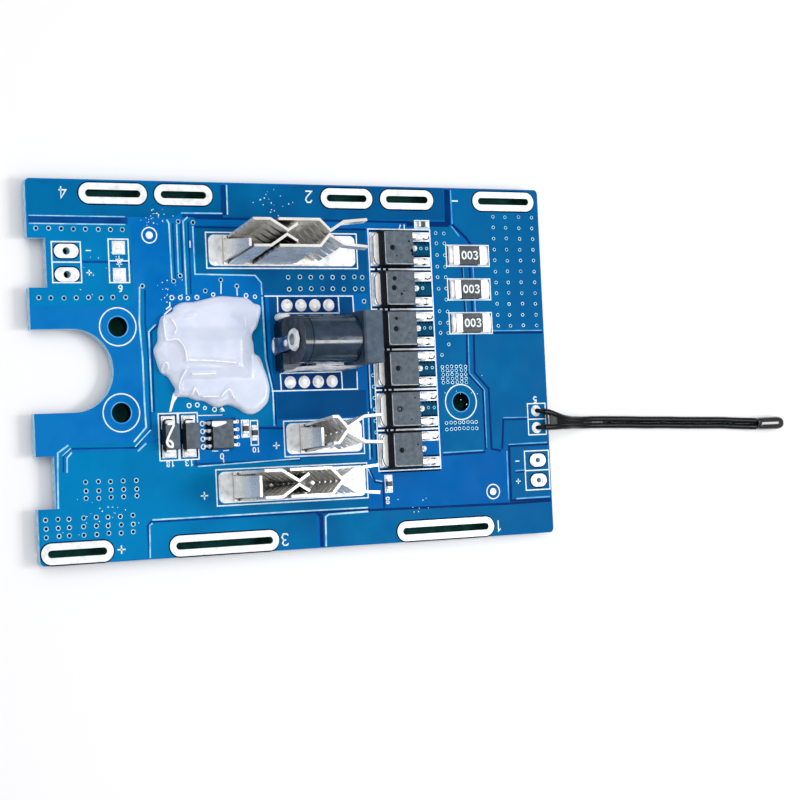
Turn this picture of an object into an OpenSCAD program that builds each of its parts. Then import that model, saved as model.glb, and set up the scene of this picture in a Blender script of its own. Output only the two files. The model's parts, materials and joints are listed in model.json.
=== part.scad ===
// Battery management board for a five-cell power tool pack: a bare circuit board
// with switching transistors, current shunts, blade terminals, a charging jack and a
// thermistor on two leads.
// X runs along the board, Y across it, Z up out of the component side. The origin is
// under the middle of the board, at the tips of the solder joints that it stands on.

/* [Board] */
// Length of the board
board_l = 95; // [92:0.5:110]
// Width of the board
board_w = 62; // [60:0.5:74]
// Thickness of the laminate
board_t = 1.6; // [0.8:0.1:2.4]
// Radius of the board's outer corners
corner_r = 0.8; // [0.2:0.1:1.5]
// Height of the solder joints under the board
joint_h = 1.3; // [0.8:0.1:2.5]
// Thickness of the tinned copper lands
land_t = 0.1; // [0.05:0.01:0.2]

/* [Edge notches] */
// Width of the U-shaped notch for the pack's cable
u_notch_w = 13.5; // [10:0.5:16]
// Depth of the U-shaped notch
u_notch_d = 13.5; // [9:0.5:15]
// Depth of the two latch notches
latch_d = 3; // [1:0.5:4]
// Width of the rear latch notch
latch_rear_w = 8; // [6:0.5:9]
// Width of the front latch notch
latch_front_w = 8.4; // [6:0.5:9]
// Distance of the rear latch notch from the board's centre line
latch_rear_y = 17.4; // [16:0.2:19]
// Distance of the front latch notch from the board's centre line
latch_front_y = 17.8; // [16:0.2:19]

/* [Screw holes] */
// Diameter of the screw holes
screw_hole_d = 3.2; // [2.2:0.1:4.2]
// Distance between the two screw holes beside the notch
screw_pitch = 14; // [13:0.5:16]
// Distance of those two holes from the left edge
screw_inset = 14.5; // [14:0.5:16]
// Distance of the single hole from the transistors' bodies
screw_right_gap = 9.05; // [8.2:0.05:10]
// Distance of the single hole from the board's centre line
screw_right_y = 7; // [6:0.25:8]

/* [Cell strip slots] */
// Width of a slot
slot_w = 1.2; // [0.8:0.1:1.8]
// Width of the tinned ring round a slot
ring_w = 3.4; // [2.8:0.1:3.5]
// Thickness of the plating inside a slot
plating_t = 0.1; // [0.05:0.01:0.2]
// Distance of the rear slots from the rear edge
rear_slot_inset = 2.25; // [2:0.05:2.6]
// Distance of the front slots from the front edge
front_slot_inset = 1.85; // [1.8:0.05:2.2]

/* [Transistors] */
// Number of transistors in the row
fet_count = 6; // [2:1:6]
// Pitch of the row
fet_pitch = 7; // [6.9:0.1:7.4]
// Left end of the moulded bodies
fet_x = 14.6; // [14.2:0.1:15]
// Distance of the rearmost transistor's middle from the rear edge
fet_inset = 11; // [10.5:0.1:11.5]
// Length of a moulded body
fet_l = 6.1; // [5.8:0.1:6.4]
// Width of a moulded body
fet_w = 6.5; // [6:0.1:6.7]
// Height of a moulded body
fet_h = 2.3; // [2:0.1:2.6]
// Reach of the leads past the body
fet_lead_l = 2.7; // [2.2:0.1:3]
// Reach of the tab past the body
fet_tab_l = 1.1; // [0.7:0.1:1.3]
// Distance between the two outer leads
fet_lead_pitch = 4.4; // [4:0.1:5]

/* [Current shunts] */
// Number of shunts
shunt_count = 3; // [1:1:3]
// Pitch of the shunts
shunt_pitch = 6; // [5:0.1:6.4]
// Distance of the shunts' middles from the transistors' bodies
shunt_gap = 11.8; // [10.6:0.1:13]
// Distance of the rearmost shunt's middle from the rear edge
shunt_rear_inset = 12.05; // [11.5:0.05:13]
// Length of a shunt
shunt_l = 6.4; // [6:0.1:6.8]
// Width of a shunt
shunt_w = 3.2; // [2.8:0.1:3.4]
// Height of a shunt
shunt_h = 0.8; // [0.6:0.05:1.2]
// Length of each end cap
shunt_cap_l = 1.15; // [0.8:0.05:1.5]

/* [Charging jack] */
// Middle of the jack across the board
jack_y = 4.1; // [3.8:0.1:4.3]
// Face of the jack's mouth
jack_mouth_x = 9.8; // [9.4:0.1:10]
// Overall length of the housing
jack_l = 14.2; // [13.5:0.1:14.6]
// Width of the front flange
jack_w = 8.8; // [8.6:0.1:9.2]
// Height of the front flange
jack_h = 11; // [10.6:0.1:12]
// Thickness of the front flange
jack_flange_t = 3.6; // [3:0.1:4]
// Diameter of the barrel behind the flange
jack_barrel_d = 8; // [7.6:0.1:8.2]
// Height of the barrel's axis over the board
jack_axis_h = 6.4; // [6:0.1:6.6]
// Diameter of the socket
socket_d = 6.2; // [5.8:0.1:6.4]
// Depth of the socket
socket_depth = 9.4; // [8:0.1:10]
// Diameter of the centre pin in the socket
pin_d = 2.1; // [1.3:0.1:2.1]

/* [Blade terminals] */
// Thickness of the sprung sheet
blade_t = 0.45; // [0.3:0.05:0.5]
// Outside width of a terminal
blade_w = 4.8; // [4.6:0.1:5.2]
// Height of a terminal over its land
blade_h = 12; // [10:0.5:13]
// Number of fingers in a wall
finger_count = 5; // [3:1:6]
// Gap between two fingers of a wall
finger_gap = 0.6; // [0.4:0.05:0.8]
// Gap where facing fingers pinch the blade
pinch_gap = 0.12; // [0.05:0.01:0.4]
// Distance of the negative terminal's middle from the rear edge
negative_inset = 11.4; // [11:0.1:11.8]
// Distance of the positive terminal's middle from the front edge
positive_inset = 11.05; // [10.8:0.05:11.2]
// Distance between the positive and the charge terminal's middles
charge_pitch = 7.65; // [7.5:0.05:7.9]
// Sideways lean of the negative terminal's walls, in degrees
negative_lean = 8; // [0:0.5:9]
// Sideways lean of the charge terminal's walls, in degrees
charge_lean = 5; // [0:0.5:8]
// Sideways lean of the positive terminal's walls, in degrees
positive_lean = 1.5; // [0:0.5:6]

/* [Small parts] */
// Pitch of the solder-filled plug holes
plug_pitch = 2.6; // [2.5:0.02:2.8]
// Height of the silicone coating
coat_h = 2.9; // [2.6:0.1:4]
// Diameter of an insulated thermistor lead
lead_d = 1.1; // [0.8:0.05:1.2]
// Diameter of the thermistor bead
bead_d = 2.5; // [2.3:0.1:3]
// Length of the thermistor bead
bead_l = 6.4; // [5:0.1:8]

/* [Hidden] */
$fn = 48;

board_z = joint_h;              // underside of the laminate
top_z = board_z + board_t;      // component face
land_z = top_z + land_t;        // top of the tinned lands, where parts stand
fillet_h = 0.35;                // height of a solder fillet over its land
past = 0.5;                     // how far a cutter runs past what it cuts
line_w = 0.2;                   // width of a printed line
ink_t = 0.04;                   // thickness of the print

left_edge = -board_l / 2;
right_edge = board_l / 2;
rear_edge = board_w / 2;
front_edge = -board_w / 2;
rear_slot_y = rear_edge - rear_slot_inset;
front_slot_y = front_edge + front_slot_inset;
SCREW_HOLES = [
    [left_edge + screw_inset, screw_pitch / 2], [left_edge + screw_inset, -screw_pitch / 2],
    [fet_x + fet_l + screw_right_gap, -screw_right_y]
];

// Each slot: middle along the board, middle across it, length of the slot
CELL_SLOTS = [
    [left_edge + 14.6, rear_slot_y, 9.4], [left_edge + 26.8, rear_slot_y, 8],
    [9.2, rear_slot_y, 7.6], [20.85, rear_slot_y, 8.2], [right_edge - 7.2, rear_slot_y, 10.4],
    [left_edge + 6.2, front_slot_y, 9.8], [-16, front_slot_y, 17.2],
    [25.6, front_slot_y, 17]
];
ring_margin = (ring_w - slot_w) / 2;

// Each oval wire land: middle, length, hole diameter
land_oval_w = 2.3;
left_wire_x = left_edge + 6.35;
right_wire_x = right_edge - 2.6;
WIRE_LANDS = [
    [left_wire_x, 19.3, 4.1, 1.2], [left_wire_x, 15.5, 4.1, 1.2],
    [right_wire_x, -17.9, 3.3, 0.9], [right_wire_x, -21.5, 3.3, 0.9]
];
lamp_land = 2.2;
lamp_x = left_edge + 15.15;
LAMP_LANDS = [[lamp_x, 19.9], [lamp_x, 15.45]];
thermistor_x = right_edge - 2.5;
THERMISTOR_Y = [-9, -12.05];
wire_hole_d = 0.9;
wire_fillet_d = 2;

// Each printed box round a pair of lands: middle, size along the board and across it
PAIR_BOXES = [
    [left_wire_x, 17.5, 5, 6.8], [lamp_x, 17.75, 3.6, 7.3],
    [right_wire_x - 0.2, -19.7, 5.2, 7.2], [thermistor_x + 0.15, -10.5, 3.9, 5.8]
];

plug_land_d = 2.1;
plug_hole_d = 1;
plug_x = -2.95;
PLUG_ROWS = [10.3, -2.75];
PLUG_HOLES = [for (y = PLUG_ROWS) for (i = [0:3]) [plug_x + i * plug_pitch, y]];

// Transistors: middle of each one, and the heights of the bent leads
FET_Y = [for (i = [0:fet_count - 1]) rear_edge - fet_inset - i * fet_pitch];
fet_sheet_t = 0.5;
fet_lead_w = 0.8;
fet_lead_z = 0.95;
fet_tab_w = 5.4;
fet_spread_l = 4.2;
fet_seam_h = 0.95;
fet_draft = 0.35;
fet_mark_d = 1;
fet_land_l = 6;
fet_land_w = 5.8;
fet_lead_land_l = 3.2;
fet_lead_land_w = 1.6;
fet_lead_land_gap = 1;
fet_land_margin = 0.3;
fet_lead_land_x = fet_x + fet_l + fet_lead_land_gap;
fet_frame_x0 = fet_x - fet_tab_l - 2 * fet_land_margin;
fet_frame_x1 = fet_lead_land_x + fet_lead_land_l + fet_land_margin;

shunt_x = fet_x + fet_l + shunt_gap;
SHUNT_Y = [for (i = [0:shunt_count - 1]) rear_edge - shunt_rear_inset - i * shunt_pitch];
shunt_land_l = 2;
shunt_frame_gap = 1.2;

// Surface-mounted chips: middle, body along X, body along Y, body height
charger_x = left_edge + 31.5;
CHARGER = [charger_x, -11.05, 3.9, 4.9, 1.5];
CONTROLLER = [-17.7, 2.3, 9.9, 3.9, 1.5];
chip_lead_pitch = 1.27;
chip_lead_w = 0.42;
chip_lead_reach = 1.05;
chip_lead_t = 0.2;

diode_inset = 22.4;
diode_pitch = 3.5;
DIODES = [for (i = [0, 1]) [left_edge + diode_inset + i * diode_pitch, -11.2]];
diode_l = 4.3;
diode_w = 2.6;
diode_h = 2.1;
diode_foot_l = 1.2;
diode_reach = 0.4;
diode_foot_w = 1.5;
diode_land_l = 2.2;
diode_land_w = 2.4;
diode_frame_l = 7.9;
diode_frame_w = 3.5;

// Chip resistors: middle, 1 where the part lies along X, length of the printed box
CHIPS = [
    [fet_x + 9, FET_Y[0] + 4.45, 1, 3], [charger_x + 4.5, -10.3, 0, 3],
    [charger_x + 6.1, -11.05, 0, 4.3], [fet_x + 0.15, FET_Y[fet_count - 1] - 5.75, 0, 3.1]
];
chip_l = 1.6;
chip_w = 0.85;
chip_h = 0.5;
chip_cap_l = 0.35;
chip_land = 0.9;
chip_frame_gap = 0.65;

jack_rear_x = jack_mouth_x - jack_l;
jack_axis_z = top_z + jack_axis_h;
jack_floor_x = jack_mouth_x - socket_depth;
jack_foot_t = 0.3;
jack_leg_w = 2.4;
jack_leg_tip_z = 0.15;
jack_hole_d = 2.5;
jack_foot_d = 3;
pin_shank_d = 2.6;
pin_head_d = 3.2;
pin_head_t = 0.45;
pin_setback = 1.6;
jack_ear_d = 3.8;
spring_leg_x = 1.6;
spring_y = jack_y - jack_barrel_d / 2 - jack_foot_t / 2;
spring_l = 5.2;
spring_h = 1.8;
JACK_LEGS = [[jack_rear_x - jack_foot_t / 2, jack_y], [spring_leg_x, spring_y]];

// Terminals: middle across the board, rear end, places of the legs
negative_y = rear_edge - negative_inset;
positive_y = front_edge + positive_inset;
charge_y = positive_y + charge_pitch;
terminal_rear_x = -14.2;
charge_rear_x = -1.7;
leg_w = 1;
leg_hole_d = 1.3;
leg_tip_z = 0.15;
leg_fillet_d = 2.4;
first_leg = 2.2;
second_leg = 9.2;
third_leg = 15.2;
short_first_leg = 1.7;
short_second_leg = 5.7;
LONG_LEGS = [first_leg, second_leg, third_leg];
NEGATIVE_LEGS = [for (x = LONG_LEGS) [terminal_rear_x + x, negative_y]];
POSITIVE_LEGS = [for (x = LONG_LEGS) [terminal_rear_x + x, positive_y]];
CHARGE_LEGS = [for (x = [short_first_leg, short_second_leg]) [charge_rear_x + x, charge_y]];
TERMINAL_LEGS = concat(NEGATIVE_LEGS, CHARGE_LEGS, POSITIVE_LEGS);

// Each terminal's land: left end, right end, middle across the board, legs
terminal_land_w = 5.2;
terminal_land_r = 1;
TERMINAL_LANDS = [
    [terminal_rear_x - 2.5, 10.3, negative_y, NEGATIVE_LEGS],
    [charge_rear_x - 2.4, 10, charge_y, CHARGE_LEGS],
    [terminal_rear_x - 2.5, 10.3, positive_y, POSITIVE_LEGS]
];
land_frame_gap = 0.5;

// ---------------------------------------------------------------- small helpers

// Flat outline with two round ends, length l over all and width w
module stadium(l, w) {
    square([l - w, w], center = true);
    for (s = [-1, 1]) translate([s * (l - w) / 2, 0]) circle(d = w);
}

// Flat rectangle with round corners
module rounded_rect(l, w, r) {
    square([l - 2 * r, w], center = true);
    square([l, w - 2 * r], center = true);
    for (x = [-1, 1]) for (y = [-1, 1])
        translate([x * (l / 2 - r), y * (w / 2 - r)]) circle(r = r);
}

// Solid block given by its middle in X and Y, its underside and its size
module block(x, y, z, l, w, h) {
    translate([x - l / 2, y - w / 2, z]) cube([l, w, h]);
}

// Outline in X and Z pushed along Y, centred on y = 0
module side_profile(points, w) {
    translate([0, w / 2, 0]) rotate([90, 0, 0]) linear_extrude(w) polygon(points);
}

// Printed frame given by its middle and its outside size
module frame(x, y, l, w) {
    translate([x, y, top_z]) linear_extrude(ink_t) difference() {
        square([l, w], center = true);
        square([l - 2 * line_w, w - 2 * line_w], center = true);
    }
}

// Two printed frames that share the line between them
module double_frame(x, y, l, w) {
    for (s = [-1, 1]) frame(x, y + s * (w - line_w) / 4, l, (w + line_w) / 2);
}

// Unit normal of the step from a to b, to its left
function left_of(a, b) = let (d = b - a) [-d[1], d[0]] / norm(d);

// Offset of a bend so that both sides of a strip stay parallel to its path
function mitre(p, i) =
    i == 0 ? left_of(p[0], p[1])
    : i == len(p) - 1 ? left_of(p[i - 1], p[i])
    : let (a = left_of(p[i - 1], p[i]), b = left_of(p[i], p[i + 1])) (a + b) / (1 + a * b);

// Outline of a bent strip of thickness t along a path
function strip(p, t) = concat(
    [for (i = [0:len(p) - 1]) p[i] + mitre(p, i) * t / 2],
    [for (i = [len(p) - 1:-1:0]) p[i] - mitre(p, i) * t / 2]
);

function mirrored(p) = [for (q = p) [q[0], -q[1]]];

// ---------------------------------------------------------------- board

module board_outline() {
    difference() {
        rounded_rect(board_l, board_w, corner_r);
        translate([left_edge - past, -u_notch_w / 2])
            square([u_notch_d - u_notch_w / 2 + past, u_notch_w]);
        translate([left_edge + u_notch_d - u_notch_w / 2, 0]) circle(d = u_notch_w, $fn = 96);
        translate([left_edge - past, latch_rear_y - latch_rear_w / 2])
            square([latch_d + past, latch_rear_w]);
        translate([left_edge - past, -latch_front_y - latch_front_w / 2])
            square([latch_d + past, latch_front_w]);
    }
}

module hole(p, d) {
    translate([p[0], p[1], board_z - past]) cylinder(d = d, h = board_t + 2 * past);
}

module circuit_board() color("#0a5da8") difference() {
    translate([0, 0, board_z]) linear_extrude(board_t) board_outline();
    for (p = SCREW_HOLES) hole(p, screw_hole_d);
    for (s = CELL_SLOTS)
        translate([s[0], s[1], board_z - past])
            linear_extrude(board_t + 2 * past) stadium(s[2] + 2 * plating_t, slot_w + 2 * plating_t);
    for (w = WIRE_LANDS) hole(w, w[3]);
    for (p = PLUG_HOLES) hole(p, plug_hole_d);
    for (y = THERMISTOR_Y) hole([thermistor_x, y], wire_hole_d);
    for (p = TERMINAL_LEGS) hole(p, leg_hole_d);
    for (p = JACK_LEGS) hole(p, jack_hole_d);
}

// Tinned copper: it lines each slot and laps over both faces, and rings each wire hole
module slot_plating() color("#d9dee0") {
    for (s = CELL_SLOTS) translate([s[0], s[1], 0]) difference() {
        union() {
            for (z = [board_z - land_t, top_z])
                translate([0, 0, z]) linear_extrude(land_t) stadium(s[2] + 2 * ring_margin, ring_w);
            translate([0, 0, board_z]) linear_extrude(board_t)
                stadium(s[2] + 2 * plating_t, slot_w + 2 * plating_t);
        }
        translate([0, 0, board_z - past]) linear_extrude(board_t + 2 * past) stadium(s[2], slot_w);
    }
    for (w = WIRE_LANDS) difference() {
        for (z = [board_z - land_t, top_z])
            translate([w[0], w[1], z]) linear_extrude(land_t) stadium(w[2], land_oval_w);
        hole(w, w[3]);
    }
}

module land(x, y, l, w) block(x, y, top_z, l, w, land_t);

// Land under a blade terminal, with the holes for its legs
module terminal_land(x0, x1, y, legs) difference() {
    translate([(x0 + x1) / 2, y, top_z]) linear_extrude(land_t)
        rounded_rect(x1 - x0, terminal_land_w, terminal_land_r);
    for (p = legs) hole(p, leg_hole_d);
}

module solder_lands() color("#d9dee0") {
    for (t = TERMINAL_LANDS) terminal_land(t[0], t[1], t[2], t[3]);
    for (p = LAMP_LANDS) land(p[0], p[1], lamp_land, lamp_land);
    for (y = FET_Y) {
        land(fet_x - fet_tab_l - fet_land_margin + fet_land_l / 2, y, fet_land_l, fet_land_w);
        for (s = [-1, 1]) land(fet_lead_land_x + fet_lead_land_l / 2, y + s * fet_lead_pitch / 2,
                               fet_lead_land_l, fet_lead_land_w);
    }
    for (y = SHUNT_Y) for (s = [-1, 1])
        land(shunt_x + s * (shunt_l / 2 - 0.3), y, shunt_land_l, shunt_w + 0.2);
    for (p = DIODES) for (s = [-1, 1])
        land(p[0], p[1] + s * (diode_l + diode_reach) / 2, diode_land_w, diode_land_l);
    for (c = CHIPS) for (s = [-1, 1]) translate([c[0], c[1], 0]) rotate([0, 0, c[2] == 1 ? 0 : 90])
        land(s * (chip_l + 0.1) / 2, 0, chip_land, chip_land);
}

// Printed outlines round the parts and rings round the screw holes
module legend_frames() color("#e8f2f6") {
    for (t = TERMINAL_LANDS) frame((t[0] + t[1]) / 2, t[2],
        t[1] - t[0] + 2 * land_frame_gap, terminal_land_w + 2 * land_frame_gap);
    for (b = PAIR_BOXES) double_frame(b[0], b[1], b[2], b[3]);
    for (y = SHUNT_Y)
        frame(shunt_x, y, shunt_l + 2 * shunt_frame_gap, shunt_w + 0.6 * shunt_frame_gap);
    for (y = FET_Y)
        frame((fet_frame_x0 + fet_frame_x1) / 2, y, fet_frame_x1 - fet_frame_x0, fet_pitch + line_w);
    for (p = DIODES) frame(p[0], p[1], diode_frame_w, diode_frame_l);
    for (c = CHIPS) translate([c[0], c[1], 0]) rotate([0, 0, c[2] == 1 ? 0 : 90])
        frame(0, 0, c[3], chip_w + chip_frame_gap);
    for (p = SCREW_HOLES) translate([p[0], p[1], top_z]) difference() {
        cylinder(d = 2 * screw_hole_d, h = ink_t);
        translate([0, 0, -past]) cylinder(d = 2 * (screw_hole_d - line_w), h = ink_t + 2 * past);
    }
}

// ---------------------------------------------------------------- transistors

// Copper tab with its heat spreader, and the two bent leads with the cut one between
module mosfet_leads(y) color("#c9cdd0") {
    body_end = fet_x + fet_l;
    foot_z = land_z;
    lead_top = land_z + fet_lead_z + fet_sheet_t;
    translate([0, y, 0]) {
        translate([fet_x + (fet_spread_l - fet_tab_l) / 2, 0, land_z]) linear_extrude(fet_sheet_t)
            rounded_rect(fet_spread_l + fet_tab_l, fet_tab_w, 0.5);
        for (s = [-1, 1]) translate([0, s * fet_lead_pitch / 2, 0])
            side_profile([
                [body_end, lead_top - fet_sheet_t], [body_end + 0.55, lead_top - fet_sheet_t],
                [body_end + 1, foot_z], [body_end + fet_lead_l, foot_z],
                [body_end + fet_lead_l, foot_z + fet_sheet_t],
                [body_end + 1.35, foot_z + fet_sheet_t], [body_end + 0.9, lead_top],
                [body_end, lead_top]
            ], fet_lead_w);
        block(body_end + 0.4, 0, lead_top - fet_sheet_t, 0.8, fet_lead_w, fet_sheet_t);
    }
}

// Moulded body, drafted up and down from its parting line
module mosfet_body(y) color("#1b1c1e") translate([fet_x, y, land_z]) difference() {
    intersection() {
        side_profile([
            [0.1, 0], [fet_l - 0.1, 0], [fet_l, fet_seam_h], [fet_l - 0.25, fet_h],
            [fet_draft, fet_h], [0, fet_seam_h]
        ], fet_w);
        rotate([90, 0, 90]) linear_extrude(fet_l) polygon([
            [-fet_w / 2 + 0.1, 0], [fet_w / 2 - 0.1, 0], [fet_w / 2, fet_seam_h],
            [fet_w / 2 - fet_draft, fet_h], [-fet_w / 2 + fet_draft, fet_h],
            [-fet_w / 2, fet_seam_h]
        ]);
        translate([fet_l / 2, 0, 0]) linear_extrude(fet_h) rounded_rect(fet_l, fet_w, 0.45);
    }
    translate([(fet_spread_l - fet_tab_l) / 2, 0, -past]) linear_extrude(fet_sheet_t + past)
        rounded_rect(fet_spread_l + fet_tab_l, fet_tab_w, 0.5);
    translate([fet_l / 3, 0, fet_h - 0.08]) cylinder(d = fet_mark_d, h = past);
}

// ---------------------------------------------------------------- shunts

// Resistance strip with its dark coat
module shunt_element(y) color("#2b2c2e") translate([shunt_x, y, land_z])
    side_profile([
        [-shunt_l / 2 + shunt_cap_l, 0.1], [shunt_l / 2 - shunt_cap_l, 0.1],
        [shunt_l / 2 - shunt_cap_l, shunt_h - 0.15], [shunt_l / 2 - shunt_cap_l - 0.15, shunt_h],
        [-shunt_l / 2 + shunt_cap_l + 0.15, shunt_h], [-shunt_l / 2 + shunt_cap_l, shunt_h - 0.15]
    ], shunt_w);

// Tinned end caps
module shunt_caps(y) color("#c7c9c8") for (s = [-1, 1])
    block(shunt_x + s * (shunt_l - shunt_cap_l) / 2, y, land_z, shunt_cap_l, shunt_w, shunt_h - 0.1);

// ---------------------------------------------------------------- charging jack

module jack_housing() color("#141517") difference() {
    union() {
        translate([jack_mouth_x - jack_flange_t, jack_y, top_z]) side_profile([
            [0, 0], [jack_flange_t, 0], [jack_flange_t, jack_h - 0.4], [jack_flange_t - 0.4, jack_h],
            [0.3, jack_h], [0, jack_h - 0.3]
        ], jack_w);
        translate([jack_rear_x, jack_y, jack_axis_z]) rotate([0, 90, 0])
            cylinder(d = jack_barrel_d, h = jack_l - jack_flange_t + 0.2, $fn = 64);
        translate([jack_rear_x, jack_y - jack_barrel_d / 2, top_z])
            cube([jack_l - jack_flange_t + 0.2, jack_barrel_d, jack_axis_h]);
    }
    // Socket for the plug
    translate([jack_floor_x, jack_y, jack_axis_z]) rotate([0, 90, 0])
        cylinder(d = socket_d, h = socket_depth + past, $fn = 64);
    // Hole of the centre pin's shank
    translate([jack_rear_x - past, jack_y, jack_axis_z]) rotate([0, 90, 0])
        cylinder(d = pin_shank_d, h = jack_l - socket_depth + past, $fn = 32);
    // Window in the front side where the spring reaches the plug
    block(spring_leg_x + spring_l / 2 - jack_leg_w / 2, spring_y, top_z - past,
          spring_l + 0.2, 3, jack_axis_h - socket_d / 2 + 0.7 + past);
}

// Centre pin: a shank through the housing's floor, riveted over behind the rear contact
module jack_centre_pin() color("#cfd2d4") translate([0, jack_y, jack_axis_z]) rotate([0, 90, 0]) {
    tip_x = jack_mouth_x - pin_setback - pin_d / 4;
    translate([0, 0, jack_rear_x - jack_foot_t - pin_head_t])
        cylinder(d = pin_head_d, h = pin_head_t, $fn = 32);
    translate([0, 0, jack_rear_x - jack_foot_t])
        cylinder(d = pin_shank_d, h = jack_floor_x - jack_rear_x + jack_foot_t, $fn = 32);
    translate([0, 0, jack_floor_x]) cylinder(d = pin_d, h = tip_x - jack_floor_x, $fn = 32);
    translate([0, 0, tip_x]) cylinder(d1 = pin_d, d2 = pin_d / 2, h = pin_d / 4, $fn = 32);
}

// Flat contact from the rivet down through the board
module jack_rear_contact() color("#c4c8ca") difference() {
    union() {
        block(jack_rear_x - jack_foot_t / 2, jack_y, jack_leg_tip_z, jack_foot_t, jack_leg_w,
              jack_axis_z - jack_leg_tip_z);
        translate([jack_rear_x - jack_foot_t, jack_y, jack_axis_z]) rotate([0, 90, 0])
            cylinder(d = jack_ear_d, h = jack_foot_t);
    }
    translate([jack_rear_x - jack_foot_t - past, jack_y, jack_axis_z]) rotate([0, 90, 0])
        cylinder(d = pin_shank_d, h = jack_foot_t + 2 * past, $fn = 32);
}

// Flat spring beside the socket, with its leg through the board
module jack_side_spring() color("#c4c8ca") {
    block(spring_leg_x, spring_y, jack_leg_tip_z, jack_leg_w, jack_foot_t,
          top_z + 2 * spring_h - jack_leg_tip_z);
    block(spring_leg_x + (spring_l - jack_leg_w) / 2, spring_y, top_z + spring_h,
          spring_l, jack_foot_t, spring_h);
}

// ---------------------------------------------------------------- blade terminals

wall_mid = blade_w / 2 - blade_t / 2;
pinch_mid = (blade_t + pinch_gap) / 2;
finger_base = 1.4;
finger_pitch = (blade_h - finger_base + finger_gap) / finger_count;

// Places along a terminal, from its rear end
wall_setback = 0.8;
short_root = 3.6;
short_pinch = 6.8;
short_tip = 8.6;
mid_wall_x = 5.3;
long_root = 12.3;
long_pinch = 14.4;
long_tip = 17;
long_base_l = 17.4;
prong_tip = 21.3;
charge_root = 1.6;
charge_pinch = 3.4;
charge_tip = 6.6;
charge_base_l = 7;
charge_prong_tip = 9.8;

// Height of the underside of finger i over the land
function finger_z(i) = finger_base + i * finger_pitch;

// One wall's row of stacked fingers: each one leaves the wall, pinches and flares.
// The top finger runs on to the path's last point as a lead-in prong.
module finger_stack(path, prong, side) {
    for (i = [0:finger_count - 1]) {
        whole = i == finger_count - 1 ? concat(path, prong) : path;
        route = side > 0 ? whole : mirrored(whole);
        translate([0, 0, finger_z(i)]) linear_extrude(finger_pitch - finger_gap)
            polygon(strip(route, blade_t));
    }
}

// Upright sheet wall between two x values
module wall(x0, x1, side) {
    translate([x0, side * wall_mid - blade_t / 2, blade_t / 2])
        cube([x1 - x0, blade_t, blade_h - blade_t / 2]);
}

// What folds up at one side leans about its fold
module leaning(side, angle) {
    translate([0, side * wall_mid, blade_t / 2]) rotate([-angle, 0, 0])
        translate([0, -side * wall_mid, -blade_t / 2]) children();
}

// Rear tongue folded up from the base
module tongue(x, top_w, h) {
    translate([x, 0, 0]) rotate([90, 0, 90]) linear_extrude(blade_t) polygon([
        [-wall_mid + 0.3, 0], [wall_mid - 0.3, 0], [top_w / 2, h], [-top_w / 2, h]
    ]);
}

// Flat base with the legs that go through the board
module terminal_base(x0, x1, y, legs) {
    block((x0 + x1) / 2, y, land_z, x1 - x0, blade_w, blade_t);
    for (p = legs) block(p[0], p[1], leg_tip_z, leg_w, blade_t, land_z + blade_t - leg_tip_z);
}

// Long terminal: short fingers pinch behind, long fingers pinch and flare in front
module long_terminal(y, lean, tongue_w, legs) color("#cfd3d2") {
    rear = terminal_rear_x;
    terminal_base(rear, rear + long_base_l, y, legs);
    translate([0, y, land_z]) {
        tongue(rear, tongue_w, blade_h - 0.4);
        for (side = [-1, 1]) leaning(side, lean) {
            wall(rear + wall_setback, rear + short_root, side);
            finger_stack([[rear + short_root - 0.2, wall_mid], [rear + short_root + 0.2, wall_mid],
                          [rear + short_pinch, pinch_mid], [rear + short_tip, wall_mid - 0.75]],
                         [], side);
            wall(rear + mid_wall_x, rear + long_root, side);
            finger_stack([[rear + long_root - 0.2, wall_mid], [rear + long_root + 0.3, wall_mid],
                          [rear + long_pinch, pinch_mid], [rear + long_tip, wall_mid - 0.3]],
                         [[rear + prong_tip, wall_mid + 0.1]], side);
        }
    }
}

// Short terminal: one row of long fingers
module short_terminal(y, lean, legs) color("#cfd3d2") {
    rear = charge_rear_x;
    terminal_base(rear, rear + charge_base_l, y, legs);
    translate([0, y, land_z]) {
        tongue(rear, 3, blade_h - 3);
        for (side = [-1, 1]) leaning(side, lean) {
            wall(rear + wall_setback, rear + charge_root, side);
            finger_stack([[rear + charge_root - 0.2, wall_mid], [rear + charge_root + 0.2, wall_mid],
                          [rear + charge_pinch, pinch_mid], [rear + charge_tip, wall_mid - 0.1]],
                         [[rear + charge_prong_tip, wall_mid + 0.1]], side);
        }
    }
}

module negative_terminal() long_terminal(negative_y, negative_lean, 1.3, NEGATIVE_LEGS);
module positive_terminal() long_terminal(positive_y, positive_lean, 3.4, POSITIVE_LEGS);
module charge_terminal() short_terminal(charge_y, charge_lean, CHARGE_LEGS);

// ---------------------------------------------------------------- chips and diodes

// Body with drafted sides, standing just clear of the board
module chip_body(c, gap) translate([c[0], c[1], top_z + gap]) intersection() {
    side_profile([
        [-c[2] / 2 + 0.1, 0], [c[2] / 2 - 0.1, 0], [c[2] / 2, c[4] / 2 - gap],
        [c[2] / 2 - 0.12, c[4] - gap], [-c[2] / 2 + 0.12, c[4] - gap], [-c[2] / 2, c[4] / 2 - gap]
    ], c[3]);
    rotate([90, 0, 90]) translate([0, 0, -c[2] / 2]) linear_extrude(c[2]) polygon([
        [-c[3] / 2 + 0.1, 0], [c[3] / 2 - 0.1, 0], [c[3] / 2, c[4] / 2 - gap],
        [c[3] / 2 - 0.12, c[4] - gap], [-c[3] / 2 + 0.12, c[4] - gap], [-c[3] / 2, c[4] / 2 - gap]
    ]);
}

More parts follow.
